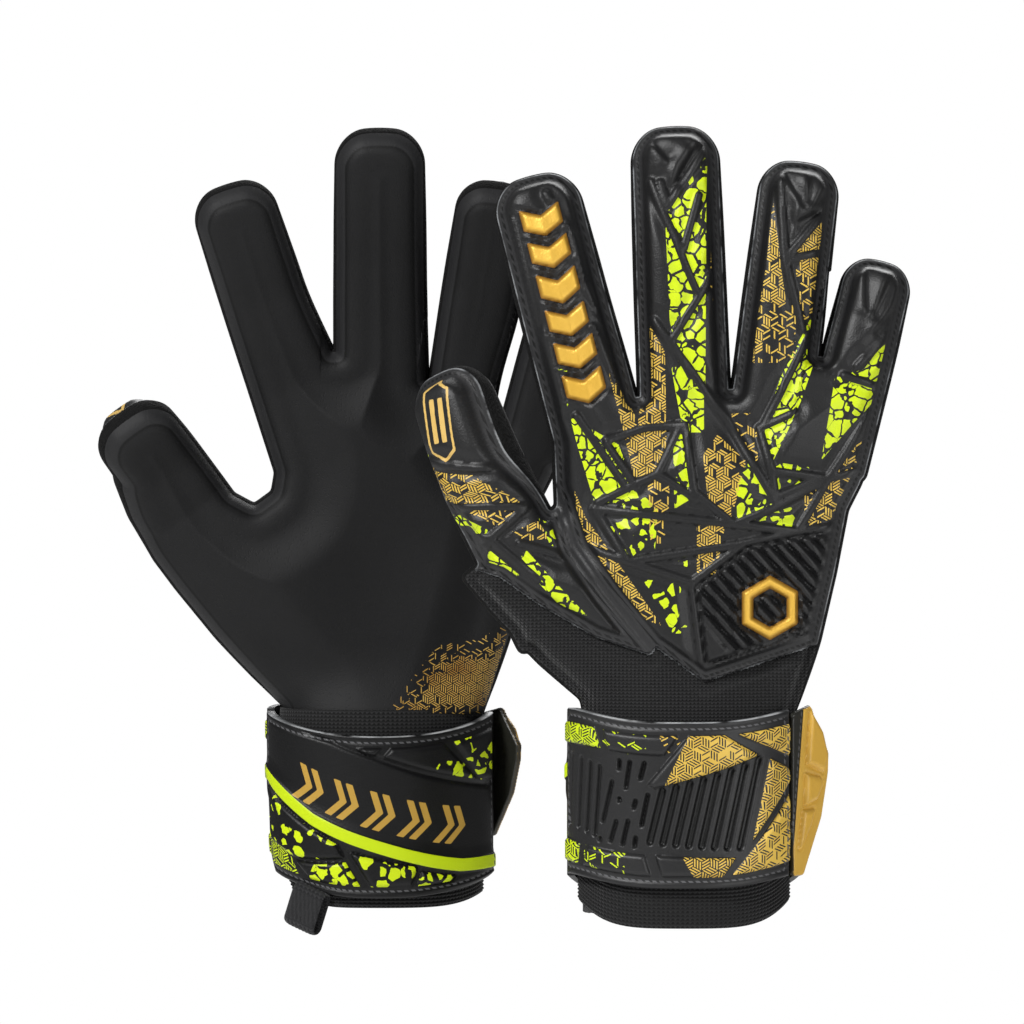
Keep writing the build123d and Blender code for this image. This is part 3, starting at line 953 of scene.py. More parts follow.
def strap_seams(up):
    """Thread lines pressed into the strap's two borders."""
    near = np.minimum(up, STRAP_TALL - up)
    return -0.4 * bell((near - STRAP_THREAD) / 0.5)


WRAP_PADS = [
    [(-9, 51.3), (1, 51.5), (-1.8, 48.6), (-6, 49.5)],
    [(4, 51.5), (22, 51.5), (33.3, 36), (1.2, 48.3)],
    [(25.6, 51.3), (38, 51.3), (38, 33.2), (34.8, 35)],
    [(-38.5, 32), (-35, 27), (-15.6, 18), (-12.6, 13.2), (-31, 10), (-38.5, 13)],
    [(-31, 9), (-12, 12), (-6.6, 3.8), (-27, 3.8)],
    [(-10.7, 15.6), (13.4, 10.2), (11, 3.8), (-3, 3.8)],
    [(14.6, 8.6), (26.5, 5.2), (24.5, 3.6), (12.9, 3.6)],
]
WRAP_LIME = [
    (0.5, [(8, 46.5), (19, 43), (23, 49), (28, 45), (33.3, 36)]),
    (0.45, WRAP_PADS[2]),
    (0.35, WRAP_PADS[3]),
    (0.6, [(-24, 9.5), (-12, 12), (-6.6, 3.8), (-27, 3.8)]),
    (0.55, [(-8, 14.8), (13.4, 10.2), (11, 3.8), (-3, 3.8)]),
    (0.6, WRAP_PADS[6]),
]
WRAP_PRINT = [(0.9, [(-39, 14), (-33, 12), (-31, 4), (-39, 4)], 1)]
WRAP_GROOVE = [(-38, 57), (-17.5, 53), (0, 47.5), (37.3, 32)]
STRIPE = [(-39.5, 37), (-36.2, 32.6), (-24, 25), (-11, 20.7), (2, 16.8), (15, 12.7), (28, 8.3), (39, 4.8)]
STRIPE_HALF = 2.15
ROW_COUNT, ROW_STEP, ROW_SLOPE, ROW_MIDDLE = 5, 12.5, -0.27, 29.5  # the wrap's row of double chevrons
ROW_HALF, ROW_BAR, ROW_SECOND = 6.4, 1.1, 4.2


def wrap_chevrons(run, up):
    """A row of plain double chevrons that follows the strap's slant."""
    u = run * cos(ROW_SLOPE) + (up - ROW_MIDDLE) * sin(ROW_SLOPE)
    v = (up - ROW_MIDDLE) * cos(ROW_SLOPE) - run * sin(ROW_SLOPE)
    depth = np.full(run.shape, -99.0)
    for k in range(ROW_COUNT):
        start = u - ROW_STEP * (k - (ROW_COUNT - 1) / 2)
        for shift in (0, ROW_SECOND):
            bar = ROW_BAR - np.abs(start - shift + 0.62 * np.abs(v)) * 0.85
            depth = np.maximum(depth, np.minimum(bar, ROW_HALF - np.abs(v)))
    return depth


def wrap_relief(run, up):
    """Pads, groove, raised stripe and seams of the strap's wrap."""
    pads = pads_depth(run, up, WRAP_PADS)
    groove = lines_distance(run, up, spread_lines([WRAP_GROOVE]))
    stripe = lines_distance(run, up, spread_lines([STRIPE]))
    below = lines_distance(run, up + 2.6, spread_lines([STRIPE]))
    height = 1.5 * dome(np.maximum(pads, 0) / 2.0) - 0.9 * bell(groove / 0.8)
    height += 0.5 * (1 - ramp(stripe, 1.9, 2.7))
    return height + strap_seams(up) + 0.7 * (1 - ramp(below, 3, 9)) * (1 - ramp(pads, -1.5, 0))


def strap_fields(fields, dashes):
    """Adds a strap's printed dashes, from (density, outline, kind) regions.

    kind says how a region is printed: 0 is gold dashes, 1 is lime dashes, 2 is dark dashes on gold and 3 is
    dark dashes on lime.
    """
    run, up = fields["sheet"][:, 0] / MM, fields["up"]
    outlines = [(density, outline) for density, outline, _ in dashes]
    depths = np.array([polygon_depth(run, up, outline) for _, outline in spread(outlines)])
    nearest = depths.argmax(0)
    kind = np.array([kind for _, _, kind in dashes])[nearest]
    fields.update({
        "lime": -9 + 0 * run, "hatch": depths.max(0),
        "dashes": np.array([density for density, _ in outlines])[nearest].astype(float),
        "tint": (kind % 2).astype(float), "solid": (kind // 2).astype(float),
    })


def strap_half(glove, side, end, relief, dashes):
    """The strap's band on one side of the cuff, from the thumb side to an angle, with its printed dashes."""
    span = (STRAP_START, (STRAP_HALF[0] + STRAP_WALL) * cos(radians(end)))
    points, faces, fields = band_shell(
        glove, STRAP_HALF, STRAP_WALL, side, span, strap_low, STRAP_TALL, 260, 130, relief
    )
    strap_fields(fields, dashes)
    return points, faces, fields


HOOK_START, HOOK_END, HOOK_WALL, HOOK_INSET = -5, -20.0, 0.9, 6  # the hook patch under the flap


def build_strap(glove):
    """The wrap over the palm side and the flap over the back, which peels from the bandage."""
    points, faces, fields = strap_half(glove, -1, FLAP_END, flap_relief, FLAP_PRINT)
    # painted shade: marks the outside of the pressed slots, which the strap material paints near black
    fields["dark"] = ramp(flap_slots(fields["sheet"][:, 0] / MM, fields["up"]), -0.1, 0.7) * fields["outer"]
    flap = glove_piece("strap_flap_foam", glove, points, faces, fields, STRAP)
    stand_for(flap, glove, "strap_flap")
    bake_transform(flap)

    points, faces, fields = strap_half(glove, 1, WRAP_END, wrap_relief, WRAP_PRINT)
    run, up = fields["sheet"][:, 0] / MM, fields["up"]
    fields["lime"], fields["spots"] = regions_depth(run, up, spread(WRAP_LIME))
    fields["gold"] = wrap_chevrons(run, up)
    fields["deep"] = 1 + 0 * up
    fields["stripe"] = STRIPE_HALF - lines_distance(run, up, spread_lines([STRIPE]))
    wrap = glove_piece("strap_wrap_foam", glove, points, faces, fields, STRAP, inward=True)
    stand_for(wrap, glove, "strap_wrap", "cuff")

    span = (HOOK_START, (STRAP_HALF[0] + STRAP_WALL) * cos(radians(HOOK_END)))
    half = (CUFF_HALF[0] + 0.15, CUFF_HALF[1] + 0.15)
    points, faces, fields = band_shell(
        glove, half, HOOK_WALL, -1, span, hook_low, STRAP_TALL - 2 * HOOK_INSET, 60, 30,
        lambda run, up: 0 * run,
    )
    hook = glove_piece("hook_patch_nylon", glove, points, faces, fields, HOOKS)
    stand_for(hook, glove, "hook_patch", "strap")


def hook_low(glove, angle):
    """Height of the hook patch's lower edge."""
    return strap_low(glove, angle) + HOOK_INSET


def build_bandage(glove):
    """The elastic knitted band round the wrist, with fine ridges and a rim that dips at front and back."""
    columns = 300
    angle = np.linspace(0, 2 * pi, columns, endpoint=False)
    up = np.concatenate([np.arange(0, 20, RIDGE_STEP / 4), [24, 34, 50, BAND_TOP]])
    rows = len(up)
    near = np.minimum(up, BAND_TOP - up)
    ridges = 0.22 * np.cos(2 * pi * up / RIDGE_STEP) * (up < 20) - 0.9 * (1 - dome(near / 0.9))
    out = np.tile(np.concatenate([ridges, 0 * up - BAND_WALL]), (columns, 1))
    flat = ellipse_points(CUFF_HALF, angle, out)
    up = np.concatenate([up, up[::-1]])
    z = up[None, :] + band_low(glove, angle)[:, None] * (1 - ramp(up, 14, BAND_TOP - 2))[None, :]
    points = tapered(glove, np.concatenate([flat, z[:, :, None]], -1).reshape(-1, 3))
    run = np.tile((angle * 28)[:, None], (1, 2 * rows)).ravel()
    fields = {"sheet": sheet_vector(run, np.tile(up, columns))}
    faces = ring_faces(columns, 2 * rows, closed=True)
    piece = glove_piece("bandage_knit", glove, points, faces, fields, BAND_KNIT)
    stand_for(piece, glove, "bandage", "cuff")


TAB_PADS = [
    [(9.5, 72.3), (7.6, 54.3), (17, 51.2), (19.2, 57), (16.3, 65)],
    [(7.0, 51.2), (15.2, 49.6), (16.4, 47), (13, 42), (6.4, 40.2)],
    [(5.6, 38.8), (12, 39.2), (9.8, 33.6), (4.2, 25.8), (3, 26)],
]
TAB_BORDER = [(-0.5, 16), (6.6, 76)]  # the gold skin starts at this slanted line
TAB_MIDDLE = 47
TAB_SQUEEZE = {"left": 0.78, "right": 1}  # the left tab is curled, so it looks shorter


def build_tab(glove):
    """A moulded gold tab with three puffed pads on its outer face and plain fabric inside."""
    net = fill_net(lambda u, z: polygon_depth(u, z, TAB_OUTLINE), (-1, 23), (12, 77), 0.4, round_by=0.6)
    depth = rim_distance(net.x, net.z, np.append(net.rim, net.rim[0]))
    pads = np.max([polygon_depth(net.x, net.z, pad) for pad in TAB_PADS], axis=0)
    (ax, az), (bx, bz) = TAB_BORDER
    skin = (net.x - ax) - (net.z - az) * (bx - ax) / (bz - az)
    outer = 1.0 * dome(depth / 0.9) + 0.3 * ramp(skin, 0, 0.8) + 1.3 * dome(np.maximum(pads, 0) / 2.2)
    outer -= 0.35 * (ramp(pads, -1.2, -0.3) - ramp(pads, -0.3, 0.1))
    inner = -1.0 * dome(depth / 0.9)
    hinge = np.array([(STRAP_HALF[0] + STRAP_WALL / 2) * cos(radians(FLAP_END + 4)),
                      (STRAP_HALF[1] + STRAP_WALL / 2) * sin(radians(FLAP_END + 4))])
    tilt = radians(TAB_TILT)
    along, out = np.array([cos(tilt), sin(tilt)]), np.array([sin(tilt), -cos(tilt)])
    off_rim = (depth > 0.01)[:, None]
    faces_at = [hinge + net.x[:, None] * along + height[:, None] * off_rim * out for height in (outer, inner)]
    tall = TAB_MIDDLE + (net.z - TAB_MIDDLE) * TAB_SQUEEZE[glove]
    points = np.concatenate([np.column_stack([place, tall]) for place in faces_at])
    other = np.arange(len(net.x)) + len(net.x)
    other[net.rim] = net.rim
    faces = np.concatenate([net.quads, other[net.quads][:, ::-1]])
    fields = {
        "sheet": sheet_vector(np.tile(net.x, 2), np.tile(net.z, 2)),
        "skin": np.concatenate([skin, 0 * skin - 9]), "rim": np.tile(depth, 2),
        "pads": np.concatenate([pads, 0 * pads - 1]),
    }
    piece = glove_piece("pull_tab_moulding", glove, points, faces, fields, TAB)
    stand_for(piece, glove, "pull_tab", "tab")


LOOP_WIDTH, LOOP_LENGTH, LOOP_THICK, LOOP_WEB = 13.0, 16.0, 6.0, 1.3
LOOP_ANGLE = 136.0
LOOP_RISE = {"left": 4.5, "right": 8.0}
LOOP_LIFT = {"left": 0, "right": 75}
LOOP_LEAN = {"left": 20, "right": 0}  # the left loop hangs askew
LOOP_TURN = {"left": 0, "right": -33}  # the right loop points straight back


def turned(a, b, angle):
    """A pair of coordinates turned from the first axis towards the second."""
    turn = radians(angle)
    return a * cos(turn) - b * sin(turn), a * sin(turn) + b * cos(turn)


def build_loop(glove):
    """A finger loop of folded webbing: a flat strip swept round a long oval."""
    radius, straight = (LOOP_THICK - LOOP_WEB) / 2, LOOP_LENGTH - LOOP_THICK
    bend_turn = np.linspace(0, pi, 17)
    y = np.concatenate([radius * np.cos(bend_turn), -radius * np.cos(bend_turn)])
    z = np.concatenate([radius * np.sin(bend_turn), -straight - radius * np.sin(bend_turn)])
    ny = np.concatenate([np.cos(bend_turn), -np.cos(bend_turn)])
    nz = np.concatenate([np.sin(bend_turn), -np.sin(bend_turn)])
    across = np.linspace(-1, 1, 27)
    bulge = LOOP_WEB / 2 * (1 - np.abs(across) ** 8) + 0.12 * np.cos(across * 9 * pi) * (1 - across**2)
    section = [(across, bulge), (across[::-1], -bulge[::-1])]
    side = np.concatenate([a for a, _ in section]) * LOOP_WIDTH / 2
    thick = np.concatenate([t for _, t in section])
    lx = np.tile(side, (len(y), 1))
    ly = y[:, None] + ny[:, None] * thick
    lz = z[:, None] + nz[:, None] * thick
    run = np.concatenate([[0], np.cumsum(np.hypot(np.diff(y), np.diff(z)))])
    lz, lx = turned(lz, lx, LOOP_LEAN[glove])
    ly, lz = turned(ly, lz, LOOP_LIFT[glove])
    angle = radians(LOOP_ANGLE)
    rim = np.array([CUFF_HALF[0] * cos(angle), CUFF_HALF[1] * sin(angle)])
    outward = rim / np.square(CUFF_HALF)
    outward /= np.linalg.norm(outward)
    origin = rim + outward * (LOOP_THICK / 2 + 0.3)
    ox, oy = turned(*outward, LOOP_TURN[glove])
    pull = tapered(glove, np.array([[*rim, LOOP_RISE[glove]]]))[0, 0] - rim[0]
    place = [origin[0] + pull + lx * oy + ly * ox, origin[1] - lx * ox + ly * oy, LOOP_RISE[glove] + lz]
    points = np.stack(place, -1).reshape(-1, 3)
    fields = {"sheet": sheet_vector(lx.ravel(), np.tile(run[:, None], (1, len(side))).ravel())}
    faces = ring_faces(len(y), len(side), closed=True)
    piece = glove_piece("pull_loop_webbing", glove, points, faces, fields, WEBBING)
    stand_for(piece, glove, "pull_loop", "loop")


# ---- Materials ----


class Shader:
    """A material's node tree, written as sums: each call adds a node and gives back its output."""

    def __init__(self, name):
        self.material = bpy.data.materials.new(name)
        self.material.use_nodes = True
        self.tree = self.material.node_tree
        self.surface = self.tree.nodes["Principled BSDF"]

    def put(self, socket, value):
        if isinstance(value, bpy.types.NodeSocket):
            self.tree.links.new(value, socket)
        elif isinstance(value, tuple) and len(value) == 3 and socket.type == "RGBA":
            socket.default_value = (*value, 1.0)
        else:
            socket.default_value = value

    def node(self, kind, inputs=(), **settings):
        node = self.tree.nodes.new(kind)
        for key, value in settings.items():
            setattr(node, key, value)
        for key, value in dict(inputs).items():
            self.put(node.inputs[key], value)
        return node

    def math(self, operation, *values):
        return self.node("ShaderNodeMath", enumerate(values), operation=operation).outputs[0]

    def times(self, a, b):
        return self.math("MULTIPLY", a, b)

    def plus(self, a, b):
        return self.math("ADD", a, b)

    def minus(self, a, b):
        return self.math("SUBTRACT", a, b)

    def absolute(self, value):
        return self.math("ABSOLUTE", value)

    def below(self, value, limit):
        return self.math("LESS_THAN", value, limit)

    def above(self, value, limit):
        return self.math("GREATER_THAN", value, limit)

    def field(self, name):
        return self.node("ShaderNodeAttribute", attribute_name=name).outputs["Fac"]

    def vector(self, name):
        return self.node("ShaderNodeAttribute", attribute_name=name).outputs["Vector"]

    def split(self, vector):
        return self.node("ShaderNodeSeparateXYZ", {0: vector}).outputs

    def step(self, value, low, high):
        """0 at low, 1 at high, and clamped outside."""
        return self.node("ShaderNodeMapRange", {0: value, 1: low, 2: high, 3: 0.0, 4: 1.0}).outputs[0]

    def mix(self, factor, a, b):
        node = self.node("ShaderNodeMix", data_type="RGBA")
        for socket, value in ((node.inputs[0], factor), (node.inputs[6], a), (node.inputs[7], b)):
            self.put(socket, value)
        return node.outputs[2]

    def noise(self, vector, scale, detail=2.0):
        inputs = {"Vector": vector, "Scale": scale, "Detail": detail}
        return self.node("ShaderNodeTexNoise", inputs).outputs["Fac"]

    def voronoi(self, vector, scale, feature="F1"):
        node = self.node("ShaderNodeTexVoronoi", {"Vector": vector, "Scale": scale}, feature=feature)
        return node.outputs["Distance"]

    def bump(self, height, distance, strength=1.0):
        inputs = {"Height": height, "Distance": distance, "Strength": strength}
        return self.node("ShaderNodeBump", inputs).outputs[0]

    def finish(self, color, roughness, normal=None, **more):
        self.put(self.surface.inputs["Base Color"], color)
        self.put(self.surface.inputs["Roughness"], roughness)
        if normal is not None:
            self.put(self.surface.inputs["Normal"], normal)
        for key, value in more.items():
            self.put(self.surface.inputs[key.replace("_", " ")], value)
        return self.material


BLACK_FOAM = (0.0065, 0.0065, 0.0068)
BLACK_FOAM_WORN = (0.0115, 0.0115, 0.0120)
LIME_INK = (0.68, 0.83, 0.006)
LIME_INK_DEEP = (0.57, 0.74, 0.004)
GOLD_INK = (0.84, 0.58, 0.105)
GOLD_INK_DEEP = (0.58, 0.36, 0.04)
GOLD_RUBBER = (0.74, 0.42, 0.040)
# dark gold: the palm print's faded ink, and painted shade on the raised gold's sloping edges
GOLD_FADE_AND_EDGE_SHADE = (0.30, 0.13, 0.012)
HATCH_PITCH = 0.0052
CELL_SCALE = 235


def cube_dashes(s, place, density, width):
    """Dashes in groups of three along the sides of stacked cubes: 1 on a dash and 0 between.

    density is the share of dashes that are printed, and width is a dash's share of its spacing.
    """
    x, z, _ = s.split(place)
    x, z = s.math("DIVIDE", x, HATCH_PITCH), s.math("DIVIDE", z, HATCH_PITCH * 3**0.5)
    options = []
    for shift in (0.0, 0.5):
        cx, cz = s.math("FLOOR", s.plus(x, shift)), s.math("FLOOR", s.plus(z, shift))
        qx = s.minus(s.math("FRACT", s.plus(x, shift)), 0.5)
        qz = s.times(s.minus(s.math("FRACT", s.plus(z, shift)), 0.5), 3**0.5)
        cell = s.plus(s.times(cx, 7.3), s.times(cz, 3.1))
        options.append((s.plus(s.times(qx, qx), s.times(qz, qz)), qx, qz, cell))
    (far_a, *a), (far_b, *b) = options
    nearer = s.below(far_a, far_b)
    rest = s.minus(1.0, nearer)
    qx, qz, cell = (s.plus(s.times(p, nearer), s.times(q, rest)) for p, q in zip(a, b))

    def reach(angle):
        return s.plus(s.times(qx, cos(angle)), s.times(qz, sin(angle)))

    faces = [pi / 2 + 2 * pi * k / 3 for k in range(3)]
    reaches = [reach(angle) for angle in faces]
    first = s.above(reaches[0], s.math("MAXIMUM", reaches[1], reaches[2]))
    second = s.times(s.above(reaches[1], reaches[2]), s.minus(1.0, first))
    third = s.minus(1.0, s.plus(first, second))
    total = 0.0
    for number, (chosen, angle) in enumerate(zip((first, second, third), faces)):
        lanes = s.times(reach(angle - pi / 6), 6.0)
        lane = s.math("FRACT", lanes)
        on_lane = s.below(s.absolute(s.minus(lane, 0.5)), s.times(width, 0.5))
        end = s.absolute(s.minus(reach(angle + pi / 6), 0.25))
        within = s.below(end, 0.225)
        seed = s.plus(s.plus(cell, s.times(s.math("FLOOR", lanes), 1.7)), 11.9 * number)
        chance = s.node("ShaderNodeTexWhiteNoise", {"W": seed}, noise_dimensions="1D").outputs["Value"]
        printed = s.below(chance, density)
        dash = s.times(s.times(on_lane, within), printed)
        total = s.plus(total, s.times(chosen, dash))
    return total


def ink(s, place, color, width):
    """Lime cells and gold or lime dashes over a base colour, where the piece's fields are above zero."""
    wobble = s.noise(place, 420, 1)
    bent = s.node("ShaderNodeVectorMath", {0: place, 1: s.times(wobble, 0.0016)}, operation="ADD").outputs[0]
    edge = s.voronoi(bent, CELL_SCALE, "DISTANCE_TO_EDGE")
    cells = s.node("ShaderNodeTexVoronoi", {"Vector": bent, "Scale": CELL_SCALE}).outputs
    spots = s.field("spots")
    thin = s.minus(1.0, spots)
    merge = s.step(s.noise(place, 170, 1), 0.36, 0.42)
    gap = s.times(s.plus(0.062, s.times(thin, 0.17)), merge)
    reach = s.minus(0.80, s.times(thin, 0.36))
    inside = s.math("MINIMUM", s.minus(edge, gap), s.minus(reach, cells["Distance"]))
    kept = s.below(s.split(cells["Color"])[0], s.plus(0.55, s.times(spots, 0.5)))
    lime = s.times(s.times(s.step(inside, 0.0, 0.014), kept), s.step(s.field("lime"), 0.0, 0.12))
    printed = cube_dashes(s, place, s.field("dashes"), width)
    dash = s.absolute(s.minus(s.field("solid"), printed))
    dash = s.times(dash, s.step(s.field("hatch"), 0.0, 0.12))
    shade = s.noise(place, 90, 1)
    green = s.mix(shade, LIME_INK_DEEP, LIME_INK)
    color = s.mix(lime, color, green)
    return s.mix(dash, color, s.mix(s.field("tint"), s.mix(shade, GOLD_INK_DEEP, GOLD_INK), green))


def stitches(s, distance, at, half=0.32):
    """Dashes of thread along a field's level line."""
    x, z, _ = s.split(s.vector("sheet"))
    dash = s.above(s.math("FRACT", s.times(s.plus(x, s.times(z, 0.9)), 430.0)), 0.4)
    band = s.below(s.absolute(s.minus(distance, at)), half)
    return s.times(dash, band)


def palm_latex_material():
    """Matte grip foam with fine open pores, a paler rolled border and faded gold dashes at the heel."""
    s = Shader("palm_latex")
    place = s.vector("sheet")
    pits = s.step(s.voronoi(place, 950), 0.12, 0.35)
    grain = s.noise(place, 2600, 3)
    cloud = s.noise(place, 24, 3)
    color = s.mix(cloud, (0.0062, 0.0062, 0.0065), (0.0105, 0.0105, 0.0110))
    color = s.mix(s.times(s.step(s.field("rim"), 3.3, 2.9), 0.8), color, (0.020, 0.020, 0.021))
    # painted shade: the pressed line inside the rolled border is painted near black
    crease = s.absolute(s.minus(s.field("rim"), 3.4))
    color = s.mix(s.times(s.step(crease, 0.6, 0.1), 0.8), color, (0.0015, 0.0015, 0.0015))
    faded = s.mix(s.step(s.noise(place, 60, 2), 0.3, 0.6), GOLD_FADE_AND_EDGE_SHADE, (0.62, 0.40, 0.09))
    fine = s.node("ShaderNodeVectorMath", {0: place, "Scale": 1.25}, operation="SCALE").outputs[0]
    dashes = cube_dashes(s, fine, s.field("dashes"), 0.45)
    color = s.mix(s.times(dashes, s.step(s.field("hatch"), 0.0, 0.12)), color, faded)
    bump = s.plus(s.times(pits, 0.4), s.times(grain, 0.6))
    return s.finish(color, 0.6, s.bump(bump, 0.00022, 0.55), Specular_IOR_Level=0.25)


def back_latex_material():
    """Satin embossed foam with printed cells and dashes and raised gold badges."""
    s = Shader("back_latex")
    place = s.vector("sheet")
    grain = s.noise(place, 1500, 3)
    cloud = s.noise(place, 40, 2)
    color = s.mix(cloud, BLACK_FOAM, BLACK_FOAM_WORN)
    color = s.mix(s.step(s.field("rim"), FLANGE + 0.5, FLANGE - 0.2), color, (0.023, 0.023, 0.024))
    color = ink(s, place, color, 0.55)
    raised = s.field("gold")
    # painted shade: the raised gold is painted dark gold at its sloping edges
    gold_color = s.mix(s.step(raised, 0.15, 1.5), GOLD_FADE_AND_EDGE_SHADE, s.mix(cloud, GOLD_RUBBER, (0.84, 0.52, 0.085)))
    color = s.mix(s.step(raised, 0.0, 0.15), color, gold_color)
    color = s.mix(s.step(s.field("badge"), 0.0, 0.1), color, (0.70, 0.46, 0.13))
    cut = s.times(s.step(s.field("cut"), 0.5, 0.25), s.step(s.noise(place, 150, 3), 0.38, 0.6))
    color = s.mix(cut, color, (0.26, 0.27, 0.28))
    thread = stitches(s, s.field("rim"), 1.7, 0.42)
    color = s.mix(thread, color, (0.0015, 0.0015, 0.0015))
    bump = s.plus(s.times(grain, 0.5), s.times(s.voronoi(place, 2100), 0.25))
    bump = s.minus(bump, s.times(thread, 1.6))
    rough = s.plus(0.38, s.times(grain, 0.14))
    metal = s.times(s.step(raised, 0.0, 0.15), 0.35)
    return s.finish(color, rough, s.bump(bump, 0.0003, 0.5), Specular_IOR_Level=0.42, Metallic=metal)


def strap_material():
    """Moulded strap foam: black skin, printed pads, pale cut edges and a looped inside."""
    s = Shader("strap_foam")
    place = s.vector("sheet")
    grain = s.noise(place, 1400, 3)
    skin = s.mix(s.noise(place, 40, 2), (0.0105, 0.0105, 0.0110), (0.0155, 0.0155, 0.0160))
    color = s.mix(s.field("deep"), skin, (0.0040, 0.0040, 0.0043))
    # painted shade: the pressed slots are painted near black
    color = s.mix(s.field("dark"), color, (0.0035, 0.0035, 0.0035))
    color = ink(s, place, color, 0.50)
    color = s.mix(s.step(s.field("gold"), 0.0, 0.1), color, (0.50, 0.30, 0.05))
    color = s.mix(s.step(s.field("stripe"), 0.0, 0.12), color, LIME_INK_DEEP)
    thread = stitches(s, s.field("near"), STRAP_THREAD)
    color = s.mix(thread, color, (0.10, 0.10, 0.105))
    top = s.step(s.field("up"), STRAP_TALL - 0.45, STRAP_TALL - 0.3)
    color = s.mix(s.times(top, s.step(s.noise(place, 130, 3), 0.35, 0.55)), color, (0.40, 0.41, 0.42))
    color = s.mix(s.field("outer"), (0.010, 0.010, 0.011), color)
    bump = s.plus(s.times(grain, 0.6), s.times(thread, 1.2))
    rough = s.plus(0.36, s.times(grain, 0.16))
    shine = s.minus(0.45, s.times(s.field("deep"), 0.13))
    return s.finish(color, rough, s.bump(bump, 0.0003, 0.5), Specular_IOR_Level=shine)


def tab_material():
    """Satin gold rubber, with a stitched black border at the strap and black fabric inside."""
    s = Shader("tab_rubber")
    place = s.vector("sheet")
    cloud = s.noise(place, 60, 3)
    gold = s.mix(cloud, (0.62, 0.34, 0.035), (0.80, 0.50, 0.085))
    gold = s.mix(s.step(s.field("pads"), 0.0, 2.0), gold, (0.74, 0.43, 0.055))
    # painted shade: the outer face's rounded rim, seen edge-on, is painted dark
    gold = s.mix(s.step(s.field("rim"), 0.55, 0.3), gold, (0.035, 0.026, 0.010))
    color = s.mix(s.step(s.field("skin"), 0.0, 0.15), (0.016, 0.016, 0.012), gold)
    color = s.mix(stitches(s, s.field("skin"), -0.9), color, (0.10, 0.10, 0.10))
    return s.finish(color, 0.38, s.bump(s.noise(place, 900, 2), 0.0001, 0.5), Specular_IOR_Level=0.5)


def hook_material():
    """Nylon hook tape: a field of tiny stiff points."""
    s = Shader("hook_tape")
    points = s.voronoi(s.vector("sheet"), 1300)
    color = s.mix(s.step(points, 0.1, 0.5), (0.05, 0.05, 0.052), (0.006, 0.006, 0.006))
    return s.finish(color, 0.45, s.bump(s.minus(1.0, points), 0.0006, 1.0))


def gusset_material():
    """Rough black foam side wall."""
    s = Shader("gusset_foam")
    place = s.vector("sheet")
    pores = s.voronoi(place, 1100)
    color = s.mix(s.noise(place, 300, 3), (0.003, 0.003, 0.003), (0.009, 0.009, 0.009))
    return s.finish(color, 0.92, s.bump(pores, 0.0006, 0.8), Specular_IOR_Level=0.2)


def knit_material(name, columns, rows, depth, tone, dark=(0.0025, 0.0025, 0.0025)):
    """Knitted fabric laid out by the sheet vector, with columns and rows of small loops per metre."""
    s = Shader(name)
    place = s.vector("sheet")
    x, z, _ = s.split(place)
    column = s.absolute(s.minus(s.math("FRACT", s.times(x, columns)), 0.5))
    row = s.math("FRACT", s.plus(s.times(z, rows), s.times(column, 0.9)))
    loops = s.absolute(s.minus(row, 0.5))
    height = s.plus(s.times(loops, 1.3), s.times(column, 0.9))
    color = s.mix(s.step(height, 0.25, 0.95), dark, tone)
    color = s.mix(s.times(s.noise(place, 900, 2), 0.5), color, dark)
    return s.finish(color, 0.85, s.bump(height, depth, 0.9), Specular_IOR_Level=0.25, Sheen_Weight=0.1)


PALM = palm_latex_material()
BACK = back_latex_material()
STRAP = strap_material()
GUSSET = gusset_material()
TAB = tab_material()
HOOKS = hook_material()
BAND_KNIT = knit_material("bandage_knit", 780, 800, 0.0003, (0.034, 0.034, 0.035))
WEBBING = knit_material("loop_webbing", 600, 900, 0.0003, (0.040, 0.040, 0.042), (0.010, 0.010, 0.011))
MESH_KNIT = knit_material("stretch_mesh", 760, 900, 0.0005, (0.034, 0.034, 0.035))
RIB_KNIT = knit_material("sleeve_rib", 420, 820, 0.0005, (0.024, 0.024, 0.025))
LINING = knit_material("lining_jersey", 900, 900, 0.0002, (0.03, 0.03, 0.032), (0.012, 0.012, 0.013))

for glove in GLOVES:
    build_hand(glove)
    build_strap(glove)
    build_bandage(glove)
    build_tab(glove)
    build_loop(glove)

# ---- Studio ----

CAMERA_DISTANCE, CAMERA_RISE = 4.3, radians(1.5)
VIEW_WIDTH = 0.348  # width of the picture at the gloves
AIM = Vector((0.007, 0, 0.148))


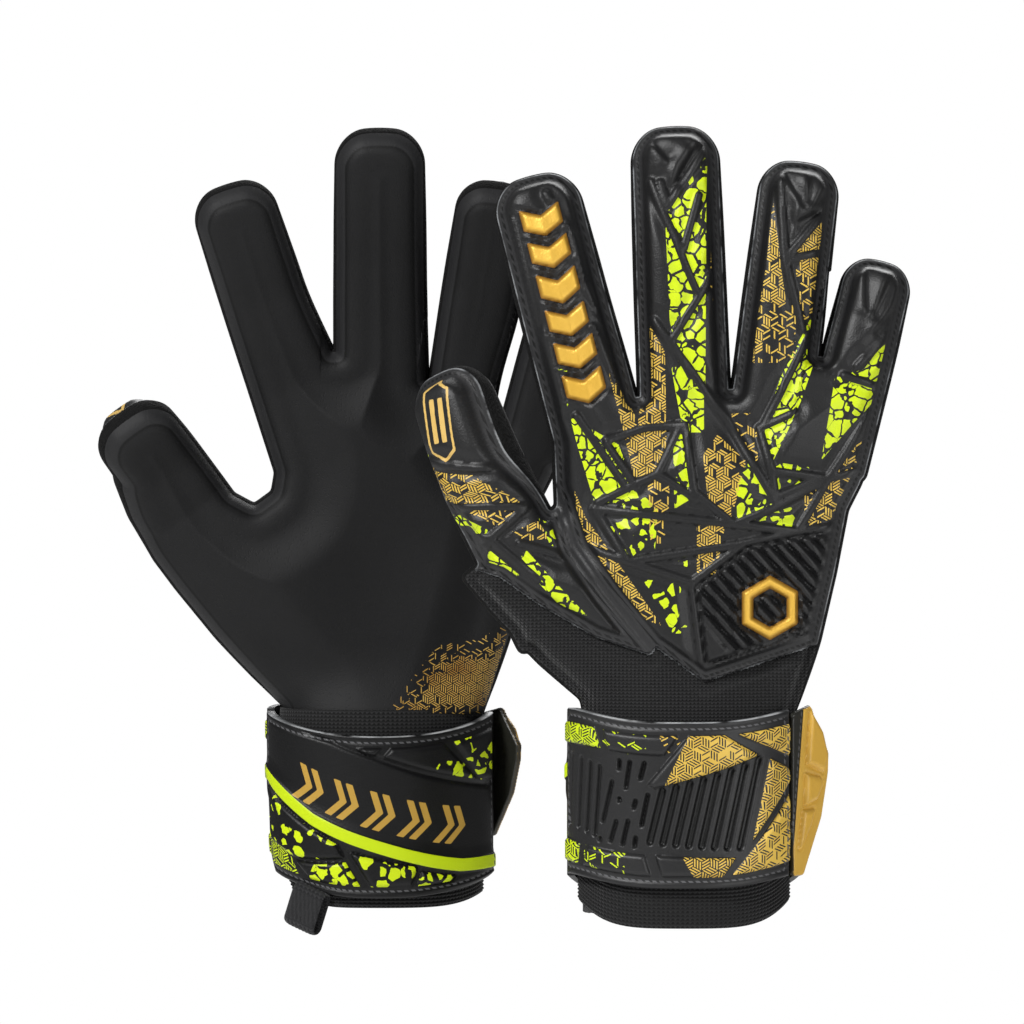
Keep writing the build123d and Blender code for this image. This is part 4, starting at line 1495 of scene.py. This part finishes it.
def add_camera():
    """A long lens a little above the gloves' middle, as in the photo."""
    camera = bpy.data.cameras.new("camera")
    camera.sensor_width = 36
    camera.lens = camera.sensor_width * CAMERA_DISTANCE / VIEW_WIDTH
    camera.clip_end = 50
    eye = bpy.data.objects.new("camera", camera)
    eye.location = AIM + CAMERA_DISTANCE * Vector((0, -cos(CAMERA_RISE), sin(CAMERA_RISE)))
    eye.rotation_euler = (AIM - eye.location).to_track_quat("-Z", "Y").to_euler()
    bpy.context.scene.collection.objects.link(eye)
    bpy.context.scene.camera = eye


def add_light(name, place, size, power):
    """A square soft light aimed at the gloves."""
    light = bpy.data.lights.new(name, "AREA")
    light.energy, light.size = power, size
    lamp = bpy.data.objects.new(name, light)
    lamp.location = place
    lamp.rotation_euler = (AIM - Vector(place)).to_track_quat("-Z", "Y").to_euler()
    bpy.context.scene.collection.objects.link(lamp)


def add_world():
    """White to the camera, dimmer as a light, so that black foam stays black."""
    world = bpy.data.worlds.new("studio")
    world.use_nodes = True
    tree = world.node_tree
    seen = tree.nodes["Background"]
    seen.inputs["Color"].default_value = (1, 1, 1, 1)
    light = tree.nodes.new("ShaderNodeBackground")
    light.inputs["Color"].default_value = (1, 1, 1, 1)
    light.inputs["Strength"].default_value = 0.16
    path = tree.nodes.new("ShaderNodeLightPath")
    mix = tree.nodes.new("ShaderNodeMixShader")
    tree.links.new(path.outputs["Is Camera Ray"], mix.inputs["Fac"])
    tree.links.new(light.outputs[0], mix.inputs[1])
    tree.links.new(seen.outputs[0], mix.inputs[2])
    tree.links.new(mix.outputs[0], tree.nodes["World Output"].inputs["Surface"])
    bpy.context.scene.world = world


def add_floor():
    """A white floor far below the gloves, which stand in the air as in the photo."""
    reach, drop = 4.0, -0.5
    corners = [(-reach, -reach, drop), (reach, -reach, drop), (reach, reach, drop), (-reach, reach, drop)]
    floor = new_mesh("studio_floor", corners, [(0, 1, 2, 3)])
    s = Shader("studio_floor")
    seen = s.node("ShaderNodeLightPath").outputs["Is Camera Ray"]
    glow = {"Emission_Color": (1.0, 1.0, 1.0), "Emission_Strength": s.times(seen, 0.75)}
    floor.data.materials.append(s.finish((0.9, 0.9, 0.9), 0.9, **glow))


add_camera()
add_world()
add_floor()
add_light("key", (-1.6, -1.9, 2.0), 0.8, 84)
add_light("fill", (1.8, -2.2, 0.6), 1.4, 26)
add_light("back", (0.4, 2.0, 1.6), 1.6, 40)
bpy.context.scene.view_settings.view_transform = "Standard"
